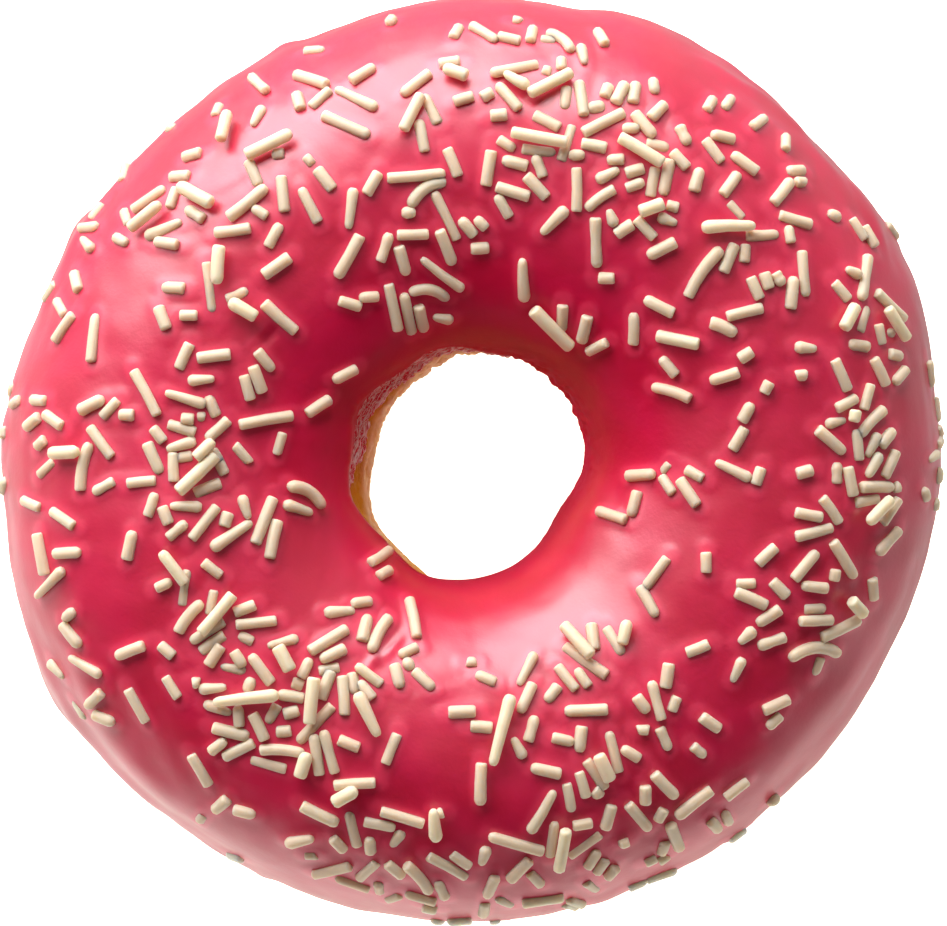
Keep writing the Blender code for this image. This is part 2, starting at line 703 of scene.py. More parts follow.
@dataclass(frozen=True)
class IcingFinish:
    """Set icing: a deep crimson pink with a soft gloss, and a painted glow round each strand that stands for
    the light it throws back onto the icing.

    Attributes:
        deep: The colour where the coat is thick.
        fresh: The colour where it is a little thinner.
        painted_glow: Painted light: the lighter colour round a strand, for the light that it throws back onto
            the icing.
        painted_edge_highlight: A painted highlight: the near-white pink along one stretch of its edge in the
            hole.
    """

    deep: Colour = (0.60, 0.003, 0.044)
    fresh: Colour = (0.68, 0.005, 0.062)
    painted_glow: Colour = (0.86, 0.045, 0.120)
    painted_edge_highlight: Colour = (1.0, 0.72, 0.68)

    def make(self) -> bpy.types.Material:
        """Makes the material.

        Returns:
            The material.
        """
        recipe = Recipe("icing")
        body = recipe.mix(recipe.patches(7 * MM, 3, (0.35, 0.65)), self.deep, self.fresh)
        # Painted light: the icing is lighter round each strand, for the light that the strand throws back
        # onto it
        painted_glow_share = recipe.range(recipe.noted("painted_glow"), (0.0, 1.0), (0.0, 0.55))
        body = recipe.mix(painted_glow_share, body, self.painted_glow)
        # A painted highlight along one stretch of the coat's edge in the hole
        recipe.join(recipe.mix(recipe.noted("painted_edge_highlight"), body, self.painted_edge_highlight), "Base Color")
        recipe.roughen(3 * MM, 3, (0.38, 0.46))
        recipe.set(Subsurface_Weight=0.3, Subsurface_Radius=(1.0, 0.25, 0.3), Subsurface_Scale=1.3 * MM)
        recipe.set(Specular_IOR_Level=0.35, Coat_IOR=1.7, Coat_Roughness=0.36)
        recipe.join(recipe.range(recipe.noted("dulled"), (0, 1), (1.0, 0.1)), "Coat Weight")
        recipe.relief((recipe.noise(1.4 * MM, 3), 0.05 * MM), (recipe.noise(0.35 * MM, 2), 0.012 * MM))
        return recipe.material


@dataclass(frozen=True)
class FilmFinish:
    """The thin film that the icing leaves on the wall of the hole, white with fine bubbles along its creases.

    Attributes:
        wet: The colour in its hollows.
        frothed: The colour along its creases.
    """

    wet: Colour = (0.70, 0.014, 0.060)
    frothed: Colour = (1.0, 0.94, 0.91)

    def make(self) -> bpy.types.Material:
        """Makes the material.

        Returns:
            The material.
        """
        recipe = Recipe("icing_film")
        band = recipe.sheet("along", "across")
        coarse = recipe.web(band, 0.50 * MM, 4, 0.070)
        fine = recipe.web(band, 0.24 * MM, 3, 0.046)
        lace = recipe.combine("MAXIMUM", coarse, fine)
        recipe.join(recipe.mix(lace, self.wet, self.frothed), "Base Color")
        recipe.roughen(0.8 * MM, 2, (0.28, 0.5))
        recipe.relief((lace, 0.06 * MM))
        return recipe.material


@dataclass(frozen=True)
class StrandFinish:
    """Pressed sugar: cream, waxy, a little yellower on the strands that lie free of the icing, and painted
    paler on the shaded front of the rim.

    Attributes:
        cream: The usual colour.
        butter: The yellower one.
        veiled: The colour of a strand with a film of icing over it.
        painted_fill: Painted light: the paler colour of the strands on the steep front of the rim, which
            faces away from the key light.
        cloudy: Where a strand has taken up moisture.
    """

    cream: Colour = (0.76, 0.595, 0.44)
    butter: Colour = (0.82, 0.70, 0.50)
    veiled: Colour = (0.83, 0.58, 0.42)
    painted_fill: Colour = (0.97, 0.87, 0.69)
    cloudy: Colour = (0.70, 0.54, 0.39)

    def make(self) -> bpy.types.Material:
        """Makes the material.

        Returns:
            The material.
        """
        recipe = Recipe("sugar_strands")
        tone = recipe.noted("tone")
        body = recipe.mix(recipe.range(tone, (0.5, 1.0), (0, 1)), self.cream, self.butter)
        body = recipe.mix(recipe.range(tone, (0.1, 0.4), (1, 0)), body, self.veiled)
        # Painted light on the strands of the shaded front of the rim
        body = recipe.mix(recipe.range(tone, (1.2, 2.0), (0, 1)), body, self.painted_fill)
        cloud = recipe.patches(0.9 * MM, 3, (0.45, 0.75), 0.3)
        recipe.join(recipe.mix(cloud, body, self.cloudy), "Base Color")
        recipe.roughen(0.5 * MM, 2, (0.42, 0.6))
        recipe.set(Subsurface_Weight=0.9, Subsurface_Radius=(1.0, 0.8, 0.6), Subsurface_Scale=1.4 * MM)
        recipe.relief((recipe.noise(0.25 * MM, 2), 0.02 * MM))
        return recipe.material


# ---------------------------------------------------------------------------------------------------------
# The dough
# ---------------------------------------------------------------------------------------------------------


@dataclass
class DoughRing:
    """The fried dough ring, with its crust, its pale line and the torn wall of its hole.

    Attributes:
        ring: The circle through the section.
        finish: What the crust looks like.
        lump_depth: How uneven the whole ring is.
        blister_depth: How far small blisters stand out of the crust.
        crease_depth: How deep the upright creases across the pale line are.
        torn_depth: How rough the wall is where the hole was cut.
        torn_towards: The angle that the roughest part of the wall is at.
        torn_half_length: How many degrees the rough part reaches to each side.
        cut_towards: The angle at the middle of the part of the wall that was left bare.
        flour_line: The height that the flour on the bare wall reaches up to.
    """

    ring: Ring
    finish: CrustFinish = field(default_factory=CrustFinish)
    lump_depth: float = 0.20 * MM
    blister_depth: float = 0.13 * MM
    crease_depth: float = 0.22 * MM
    torn_depth: float = 0.36 * MM
    torn_towards: float = 120
    torn_half_length: float = 95
    cut_towards: float = 178
    flour_line: float = 18.8 * MM

    def build(self) -> bpy.types.Object:
        """Models and dresses the ring.

        Returns:
            The finished piece.
        """
        piece = frame_copy("dough_ring", "dough_ring_crust")
        finish_modifier(piece, "SUBSURF", levels=2, render_levels=2)
        self.cut_finer(piece)
        self.shape(piece)
        dress(piece, self.finish.make())
        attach(piece, "root")
        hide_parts("dough_ring")
        return piece

    def cut_finer(self, piece: bpy.types.Object) -> None:
        """Subdivides what the icing leaves bare: the side under it and the wall of the hole.

        Args:
            piece: The ring.
        """
        centres = face_array(piece.data, "center")
        turn = self.ring.turn(centres)
        bare_side = (turn > -80) & (turn < -8)
        wall = (np.abs(turn) > 128) & (centres[:, 2] > 4 * MM)
        edit_faces(piece, bare_side | wall)
        bpy.ops.mesh.subdivide(number_cuts=1, smoothness=0)
        close_edit()

    def shape(self, piece: bpy.types.Object) -> None:
        """Makes the surface uneven: lumps, blisters, creases across the pale line, and the torn wall.

        Args:
            piece: The ring.
        """
        clay = Clay(piece, self.ring)
        off_the_table = smoothstep(clay.height, 0.1 * MM, 1.8 * MM)
        lumps = self.lump_depth * clay.noise(9 * MM, 3.0)
        blisters = self.blister_depth * np.clip(clay.noise(1.7 * MM, 8.0), -0.2, 1)
        line = bump_at(clay.height, self.finish.line_height, self.finish.line_width)
        creases = -self.crease_depth * line * np.clip(clay.noise(1.5 * MM, 21.0, (1, 1, 2.6)), 0, 1)
        in_hole = clay.in_hole(15 * MM)
        near = around(clay.angle, self.torn_towards, self.torn_half_length)
        band = smoothstep(clay.height, 9 * MM, 14 * MM) * smoothstep(clay.height, 25 * MM, 21 * MM)
        rough = clay.noise(1.1 * MM, 31.0) + 0.7 * clay.noise(0.5 * MM, 37.0)
        torn = self.torn_depth * in_hole * near * band * rough
        clay.points += swelled(clay, self.ring)
        ledge = in_hole * BARE_LEDGE.at(clay.angle) * smoothstep(clay.height, 21 * MM, 18 * MM)
        clay.push(off_the_table * (lumps + blisters + creases + ledge) + torn)
        self.note_colours(clay, in_hole, rough)
        clay.set_down()

    def note_colours(self, clay: Clay, in_hole: np.ndarray, rough: np.ndarray) -> None:
        """Notes where the pale line, the bare wall and the flour on it are, for the finish.

        Args:
            clay: The ring's points.
            in_hole: 1 in the hole and 0 outside it.
            rough: How far the torn crumb stands out at each point, from about -1 to 1.
        """
        wander = 1.1 * MM * clay.noise(8 * MM, 5.0) + 0.5 * MM * clay.noise(2.2 * MM, 6.0)
        clay.note("pale_line", bump_at(clay.height + wander, self.finish.line_height, self.finish.line_width))
        bare_side = smoothstep(np.abs(round_gap(clay.angle, self.cut_towards)), 110, 84)
        wall = bare_side * in_hole * smoothstep(clay.height, 10 * MM, 13 * MM)
        clay.note("cut_wall", wall)
        patches = 0.35 + 0.65 * smoothstep(rough, -0.4, 0.6)
        patches *= 1 - 0.65 * around(clay.angle, BARE_LEDGE.towards, 24)
        below_line = smoothstep(clay.height + 0.8 * wander, self.flour_line + 1.8 * MM, self.flour_line)
        clay.note("floury", wall * patches * below_line)


# ---------------------------------------------------------------------------------------------------------
# The icing
# ---------------------------------------------------------------------------------------------------------


@dataclass(frozen=True)
class Sag:
    """A stretch of the outer slope where the icing has slipped into a soft ridge along the ring.

    Attributes:
        towards: The angle at its middle.
        half_length: How many degrees it reaches to each side.
        turn: The turn round the section that its crest is at, in degrees.
        half_width: How many degrees of turn it reaches up and down.
        depth: How far it stands out.
    """

    towards: float
    half_length: float
    turn: float
    half_width: float
    depth: float


@dataclass(frozen=True)
class Crease:
    """A short raised line in the skin of the icing.

    Attributes:
        across: The middle's X, in millimetres.
        along: The middle's Y, in millimetres.
        heading: Its direction seen from above, in degrees.
        length: Its length in millimetres.
        rise: How far it stands up, in millimetres.
    """

    across: float
    along: float
    heading: float
    length: float
    rise: float


SAGS = (
    Sag(222, 30, 33, 7, 0.42 * MM),
    Sag(205, 22, 14, 4, 0.20 * MM),
    Sag(244, 18, 8, 4, 0.22 * MM),
    Sag(300, 26, 17, 5, 0.20 * MM),
    Sag(327, 20, 31, 6, 0.22 * MM),
    Sag(345, 16, 10, 4, 0.18 * MM),
    Sag(38, 18, 22, 5, 0.26 * MM),
    Sag(58, 14, 8, 4, 0.18 * MM),
    Sag(146, 15, 18, 5, 0.34 * MM),
    Sag(120, 12, 10, 4, 0.20 * MM),
)
# How far the hem in the hole has run down, or drawn back where the number is below 0
HOLE_SLIDES = (
    Swell(163, 22, 1.35 * MM),
    Swell(108, 15, -1.0 * MM),
    Swell(205, 16, 0.5 * MM),
    Swell(243, 15, -1.9 * MM),
    Swell(91, 12, -0.9 * MM),
)
CREASES = (
    Crease(-22.0, 25.6, 28, 5, 0.07),
    Crease(-21.2, 24.3, 35, 4, 0.06),
    Crease(-18.5, 11.2, 50, 2.4, -0.30),
    Crease(1.8, 18.9, 150, 3.4, -0.14),
    Crease(-7.4, -17.8, 42, 3.2, 0.24),
    Crease(-9.2, -19.0, 60, 3, 0.12),
    Crease(-22.6, 12.4, 52, 3, 0.06),
    Crease(14.2, -3.8, 62, 4, 0.06),
    Crease(24.5, -36.0, 100, 2.5, 0.18),
    Crease(-3.0, -21.8, 15, 4, 0.05),
    Crease(-37.9, 21.9, 60, 8, 0.32),
    Crease(-40.5, 16.4, 68, 5, 0.26),
    Crease(-34.3, 26.0, 53, 5, 0.24),
    Crease(29.4, 32.8, 138, 9, 0.20),
    Crease(34.0, 28.0, 130, 7, -0.22),
    Crease(24.0, 37.0, 147, 6, -0.15),
    Crease(38.2, 21.6, 119, 5, 0.22),
)


@dataclass
class IcingCoat:
    """The coat of icing over the top and the outside, down to a thin wavy hem.

    Attributes:
        ring: The circle through the section.
        finish: What it looks like.
        settle: How far its inner side and its hem are pressed towards the dough, so that no slit shows.
        lump_depth: How uneven the coat is as a whole.
        bead: How far the coat swells just above its hem.
        streak_depth: How deep the fine streaks along its side are.
        edge_depth: How uneven its widest part is.
        hole_press: How much nearer the dough its hem lies in the hole.
        rag_depth: How uneven it has set over the torn crumb of the hole's wall.
        rag_towards: The angle that this is strongest at.
        painted_highlight_towards: The angle at the middle of the painted highlight along the edge in the
            hole.
        dulled_towards: The angle at the middle of the part in the hole that has set dull.
        rim_rise: How high the icing climbs round a strand.
        rim_width: How far from a strand that reaches.
        rim_gap: How much farther off the icing counts a strand that lies on top of others.
        longest_lip: Edges shorter than this join the frame node's outer side to its inner side.
    """

    ring: Ring
    finish: IcingFinish = field(default_factory=IcingFinish)
    settle: float = 0.46 * MM
    lump_depth: float = 0.42 * MM
    bead: float = 0.30 * MM
    streak_depth: float = 0.09 * MM
    edge_depth: float = 0.26 * MM
    hole_press: float = 0.25 * MM
    rag_depth: float = 0.34 * MM
    rag_towards: float = 62
    painted_highlight_towards: float = 225
    dulled_towards: float = 95
    rim_rise: float = 0.09 * MM
    rim_width: float = 0.45 * MM
    rim_gap: float = 0.3 * MM
    longest_lip: float = 0.7 * MM

    def build(self) -> bpy.types.Object:
        """Models and dresses the coat, still with no strands in it.

        Returns:
            The piece.
        """
        piece = frame_copy("icing", "icing_coat")
        self.mark_hems(piece)
        finish_modifier(piece, "SUBSURF", levels=2, render_levels=2)
        centres = face_array(piece.data, "center")
        outside = self.ring.facing(centres, face_array(piece.data, "normal")) > 0.2
        edit_faces(piece, outside)
        bpy.ops.mesh.subdivide(number_cuts=1, smoothness=0)
        close_edit()
        self.shape(piece)
        dress(piece, self.finish.make())
        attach(piece, "root")
        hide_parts("icing")
        return piece

    def mark_hems(self, piece: bpy.types.Object) -> None:
        """Notes 1 at the points of the two hems and 0 elsewhere, for the subdivision to blend.

        Args:
            piece: The coat, still as it is in the frame.
        """
        mesh = piece.data
        hem = np.zeros(len(mesh.vertices))
        for edge in mesh.edges:
            first, last = edge.vertices
            if (mesh.vertices[first].co - mesh.vertices[last].co).length < self.longest_lip:
                hem[first] = hem[last] = 1
        Clay(piece, self.ring).note("hem", hem)

    def shape(self, piece: bpy.types.Object) -> None:
        """Presses the coat onto the dough, then gives it lumps, sags and creases.

        Args:
            piece: The coat.
        """
        clay = Clay(piece, self.ring)
        outside = smoothstep(clay.facing, 0.0, 0.3)
        hem = clay.read("hem")
        inward = -self.ring.outward(clay.points)
        pressed = self.settle * np.maximum(1 - outside, hem**1.5)
        clay.points += swelled(clay, self.ring)
        clay.points += self.slid(clay, hem)
        in_hole = clay.in_hole()
        ragged = np.clip(clay.noise(1.0 * MM, 15.0) + 0.6 * clay.noise(0.5 * MM, 16.0), -0.9, 0.6)
        ragged *= self.rag_depth * around(clay.angle, self.rag_towards, 70)
        ragged *= smoothstep(clay.height, 24 * MM, 20 * MM)
        pressed += in_hole * (self.hole_press * hem + ragged)
        clay.points += inward * pressed[:, None]
        bead = self.bead * bump_at(hem, 0.45, 0.25)
        lumps = self.lump_depth * (clay.noise(13 * MM, 2.0) + 0.35 * clay.noise(6 * MM, 4.0))
        ripples = 0.05 * MM * clay.noise(2.4 * MM, 9.0)
        skin = bead + (lumps + ripples) * (1 - 0.7 * hem) + self.sags(clay) + self.creases(clay)
        clay.push(outside * skin)
        dull_side = smoothstep(np.abs(round_gap(clay.angle, self.dulled_towards)), 125, 80)
        clay.note("dulled", smoothstep(clay.reach, 22 * MM, 16 * MM) * dull_side)
        # Where the finish paints a highlight along the coat's edge in the hole
        edge = smoothstep(hem, 0.35, 0.8) * in_hole
        clay.note("painted_edge_highlight", edge * around(clay.angle, self.painted_highlight_towards, 34))
        clay.set_down()

    def slid(self, clay: Clay, hem: np.ndarray) -> np.ndarray:
        """How far the hem in the hole has run down or drawn back along the dough, as rows of offsets.

        Args:
            clay: The coat's points.
            hem: 1 at the hems, fading to 0 away from them.

        Returns:
            One offset for each point.
        """
        run = sum(slide.at(clay.angle) for slide in HOLE_SLIDES)
        run *= hem * clay.in_hole()
        outward = self.ring.outward(clay.points)
        round_ring = np.stack([-clay.points[:, 1], clay.points[:, 0], np.zeros(len(hem))], 1)
        down = np.cross(outward, round_ring / clay.reach[:, None])
        return down * run[:, None]

    def sags(self, clay: Clay) -> np.ndarray:
        """How far the ridges, fine streaks and dents of the outer slope lift each point.

        Args:
            clay: The coat's points.

        Returns:
            A height in metres for each point.
        """
        wander = 7 * clay.ring_noise(9 * MM, 40 * MM, 17.0)
        fade = np.clip(0.75 + 0.9 * clay.ring_noise(5 * MM, 30 * MM, 23.0), 0, 1.3)
        total = np.zeros(len(clay.points))
        for sag in SAGS:
            window = around(clay.angle, sag.towards, sag.half_length)
            ridge = bump_at(clay.turn + wander, sag.turn, sag.half_width)
            hollow = bump_at(clay.turn + wander, sag.turn - 1.6 * sag.half_width, 1.1 * sag.half_width)
            total += sag.depth * fade * window * (ridge - 0.5 * hollow)
        side = smoothstep(clay.turn, -12, -2) * smoothstep(clay.turn, 46, 26)
        streaks = clay.ring_noise(11 * MM, 1.1 * MM, 29.0)
        patchy = np.clip(clay.ring_noise(9 * MM, 14 * MM, 37.0) + 0.25, 0, 1)
        bulges = clay.noise(7 * MM, 41.0) + 0.5 * clay.noise(3 * MM, 43.0)
        unevenness = self.edge_depth * bump_at(clay.turn, 2, 22) * bulges
        return total + self.streak_depth * side * patchy * streaks + unevenness

    def creases(self, clay: Clay) -> np.ndarray:
        """How far the short raised lines lift each point.

        Args:
            clay: The coat's points.

        Returns:
            A height in metres for each point.
        """
        total = np.zeros(len(clay.points))
        above = smoothstep(clay.turn, 0, 20)
        for crease in CREASES:
            heading = math.radians(crease.heading)
            dx = clay.points[:, 0] / MM - crease.across
            dy = clay.points[:, 1] / MM - crease.along
            run = dx * math.cos(heading) + dy * math.sin(heading)
            side = dy * math.cos(heading) - dx * math.sin(heading) - 0.04 * run**2
            ends = bump_at(run, 0, crease.length / 2)
            across = bump_at(side, 0, 0.40) - 0.3 * bump_at(side, 0.8, 0.5)
            total += above * crease.rise * MM * ends * across
        return total

    def take_strands(self, piece: bpy.types.Object, strands: Sequence["Strand"]) -> None:
        """Lets the icing climb round the strands, and notes how near each point is to one, for the glow that
        the finish paints round them.

        Args:
            piece: The coat.
            strands: The strands, where they lie.
        """
        clay = Clay(piece, self.ring)
        outside = clay.facing > 0.3
        out_of_reach = 1.0
        nearest = np.full(len(clay.points), out_of_reach)
        for strand in strands:
            reach = strand.length / 2 + 3 * self.rim_width
            close = np.flatnonzero(outside & (np.abs(clay.points - np.array(strand.centre)).max(1) < reach))
            arm = clay.points[close] - np.array(strand.centre)
            along = np.clip(arm @ np.array(strand.axis), -strand.length / 2, strand.length / 2)
            aside = arm - along[:, None] * np.array(strand.axis)
            gap = np.maximum(np.linalg.norm(aside, axis=1) - strand.thickness / 2, 0)
            if strand.tone == TONES[Bed.HIGH]:
                gap += self.rim_gap
            nearest[close] = np.minimum(nearest[close], gap)
        closeness = np.exp(-((nearest / self.rim_width) ** 2))
        clay.push(self.rim_rise * closeness)
        # How near a strand each point is, for the painted glow of thrown-back light round it
        clay.note("painted_glow", np.exp(-((nearest / (1.1 * self.rim_width)) ** 2)))
        clay.set_down()


@dataclass
class HoleFilm:
    """The crinkled film of icing that clings to the wall of the hole under the coat's hem.

    Attributes:
        ring: The circle through the section.
        finish: What it looks like.
        overlap: How far it starts above the hem.
        drops: How far it hangs below the hem, in millimetres, at angles in degrees.
        thickness: Its thickness.
        crinkle: How deep its creases are.
    """

    ring: Ring
    finish: FilmFinish = field(default_factory=FilmFinish)
    overlap: float = 0.4 * MM
    drops: tuple[tuple[float, float], ...] = (
        (46, 0.0), (56, 2.2), (80, 3.2), (100, 3.0), (135, 2.7), (160, 2.2), (182, 1.5), (196, 0.0),
    )
    thickness: float = 0.16 * MM
    crinkle: float = 0.13 * MM

    def build(self, dough: bpy.types.Object, coat: bpy.types.Object) -> bpy.types.Object:
        """Lifts the film off the finished dough's surface and crinkles it.

        Args:
            dough: The finished dough ring.
            coat: The coat that it hangs from.

        Returns:
            The finished piece.
        """
        hold(dough)
        bpy.ops.object.duplicate()
        piece = bpy.context.active_object
        # What the dough ring is marked with, such as the node it replaces, isn't true of the copy
        for key in list(piece.keys()):
            del piece[key]
        piece.name = piece.data.name = "icing_film"
        self.cut_out(piece, self.hem_line(coat))
        finish_modifier(piece, "SOLIDIFY", thickness=self.thickness, offset=1.0)
        self.crumple(piece)
        dress(piece, self.finish.make())
        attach(piece, "root")
        return piece

    def hem_line(self, coat: bpy.types.Object) -> np.ndarray:
        """Reads how high the coat's hem runs in the hole, degree by degree.

        Args:
            coat: The coat of icing.

        Returns:
            A height for each whole degree.
        """
        clay = Clay(coat, self.ring)
        inner = clay.reach < self.ring.radius
        heights = np.full(360, np.inf)
        np.minimum.at(heights, clay.angle[inner].astype(int) % 360, clay.height[inner])
        return heights

    def cut_out(self, piece: bpy.types.Object, hem: np.ndarray) -> None:
        """Keeps only the faces inside the film's ragged outline, and cuts those finer.

        Args:
            piece: A copy of the dough ring.
            hem: The height of the coat's hem for each whole degree.
        """
        centres = face_array(piece.data, "center")
        angle = angle_at(centres)
        top = hem[angle.astype(int) % 360] + self.overlap
        drop = np.interp(angle, *zip(*self.drops)) * MM
        ragged = np.array([noise.noise(Vector(centre) / (1.3 * MM)) for centre in centres])
        inside = (centres[:, 2] > top - drop - self.overlap - 0.5 * MM * ragged) & (centres[:, 2] < top)
        keep = inside & (drop > 0) & (reach_of(centres) < self.ring.radius)
        edit_faces(piece, ~keep)
        bpy.ops.mesh.delete(type="FACE")
        bpy.ops.mesh.select_all(action="SELECT")
        bpy.ops.mesh.subdivide(number_cuts=1)
        close_edit()

    def crumple(self, piece: bpy.types.Object) -> None:
        """Raises creases that run along the film, and notes where each point is on the wall.

        Args:
            piece: The film, cut out and thickened.
        """
        clay = Clay(piece, self.ring)
        lengthwise = clay.noise(0.9 * MM, 11.0, (1.0, 1.0, 0.5))
        crest = 0.75 * np.clip(1 - 2.2 * np.abs(lengthwise), 0, 1)
        crest += 0.45 * np.abs(clay.noise(0.42 * MM, 13.0))
        clay.push(self.crinkle * (crest - 0.2))
        clay.note("along", np.radians(clay.angle) * 12 * MM)
        clay.note("across", clay.height)
        clay.set_down()


# ---------------------------------------------------------------------------------------------------------
# The sugar strands
# ---------------------------------------------------------------------------------------------------------


class Mould(Enum):
    """The shapes that sugar strands come in."""

    ROUNDED = "rounded"
    CUT = "cut"
    TAPERED = "tapered"
    BOWED = "bowed"
    ARCHED = "arched"
    PINCHED = "pinched"
    BEAD = "bead"
    SHARD = "shard"


# How many strands in a hundred are of each common shape
COMMON_SHAPES = {Mould.ROUNDED: 32, Mould.CUT: 50, Mould.TAPERED: 13, Mould.PINCHED: 5}
# Which ends of a mould are cut off flat, and not rounded: 1 is the far end
FLAT_ENDS = {
    Mould.CUT: (1, -1),
    Mould.ROUNDED: (-1,),
    Mould.BOWED: (-1,),
    Mould.PINCHED: (1,),
    Mould.SHARD: (1, -1),
}
# How much farther out each step of an end is, and how wide the end is there, in strand thicknesses
FLAT_END = ((0.12, 0.95), (0.09, 0.78))
ROUND_END = ((0.20, 0.90), (0.17, 0.70), (0.09, 0.45))
# Where a mould's straight part is cut across so that it can bend, with the part from -1/2 to 1/2
CUTS_ACROSS = {
    Mould.ARCHED: (-0.38, -0.25, -0.12, 0.0, 0.12, 0.25, 0.38),
    Mould.BOWED: (-0.25, 0.0, 0.25),
    Mould.PINCHED: (-0.25, 0.0, 0.25),
    Mould.BEAD: (),
    Mould.SHARD: (),
}


class Bed(Enum):
    """How far a strand's underside is lifted off the icing, at the least and at the most, in thicknesses."""

    SUNK = (-0.66, -0.50)
    FLAT = (-0.42, -0.20)
    HIGH = (0.20, 0.46)


# The tone of the strands in each bed
TONES = {Bed.SUNK: 0.05, Bed.FLAT: 0.5, Bed.HIGH: 0.95}


@dataclass
class Strand:
    """One strand where it lies.

    Attributes:
        centre: Its middle.
        axis: Its direction.
        up: The direction away from the icing.
        length: Its length.
        thickness: Its thickness.
        mould: Its shape.
        tone: 0 under a film of icing, 1 where it is quite free of it, and up to 2 on the steep front of the
            rim, which faces away from the key light and is painted paler.
        bend: How far it turns to its right from end to end, in radians.
    """

    centre: Vector
    axis: Vector
    up: Vector
    length: float
    thickness: float
    mould: Mould
    tone: float
    bend: float = 0.0


# The strands on the top, one by one as seen from above: the middle's X and Y in millimetres, the heading in
# degrees and the length in millimetres
SUNK = (
    (7.1, 40.3, -8, 1.8), (8.9, 30.5, 72, 4), (6.1, 29.8, -7, 3.4), (-4, 33.6, -64, 3.4),
    (8.8, 34.9, 83, 2.4), (17.4, 30.3, -13, 2.4), (17.1, 26.8, 80, 3.3), (18.45, 27.4, 79, 3.7),
    (8.5, 14, 88, 2.8), (25.9, 20, 86, 2.2), (27.4, 21.75, 3, 3.4), (25, 24.1, -47, 2.4),
    (37.1, 13.6, 72, 2.8), (34.5, 3.9, 12, 2), (39.7, 12.4, 0, 1), (-2.6, 23.5, -64, 5.2),
    (-24.4, 33.6, 70, 1.7), (-33.1, 23.4, -68, 2), (-25.2, 16.9, -83, 5), (-26, 4.4, 0, 1.1),
    (-27.85, 3.3, -17, 3.2), (-24.9, 5.3, -66, 2.3), (-22.7, 16, 25, 2.4), (-27.5, 0.6, 10, 1.8),
    (-24.1, -0.3, -65, 2.2), (-25.4, -2.4, 22, 3.2), (-40.7, -0.5, 42, 2.5), (-27.6, -12, 83, 3.6),
    (-25, -13.3, 78, 2.8), (-24.9, -17.2, 36, 3.3), (-22.9, -19.6, -10, 2.4), (-21.6, -16.8, -28, 1.7),
    (-18.2, -17.1, 14, 2.9), (-13.8, -19.7, 10, 2.4), (-16.8, -21.1, -20, 1.6), (-24.4, -23.4, -20, 2.7),
    (-19.1, -23.8, 60, 2.2), (-15, -24.8, 47, 5), (-19.5, -28.7, -15, 4), (-11.5, -20.9, -80, 2.2),
    (-11.45, -35, -77, 3.8), (-7.3, -35.8, 55, 1.9), (-15.5, -37.4, 0, 1.5), (-11.4, -40.1, -20, 3.6),
    (-9, -40.5, -85, 1.6), (-7.6, -41.4, 25, 1.9), (-25.9, -33.8, 55, 1.5), (-37.5, -23.5, -51, 2),
    (10.7, -18.9, -35, 5.4), (11.65, -29.7, -56, 3.8), (13.4, -27.7, -76, 4.2), (7.5, -36, 83, 3.7),
    (10.6, -36.4, 37, 4.2), (11.2, -40.3, -40, 2), (3, -41.8, -32, 2), (1, -42.5, 82, 2),
    (9.3, -42.6, -25, 1.8), (34.65, -1.1, 90, 2.2), (37.5, -3.6, 10, 2.9), (32.4, -13.9, 2, 2.3),
    (32.8, -19.2, 72, 2), (26, -11.5, 2, 2.3), (38.5, 0.5, 60, 1.5), (-35.9, 23.9, 53, 2.3),
    (-33.3, 27.6, 80, 2.2), (-29.1, 32.2, 12, 1.1), (-40.3, 16.3, 54, 2.5), (-44.4, 7, 65, 1.3),
    (18.4, -0.4, 50, 1.4), (13.4, -16.9, -58, 3.2),
)
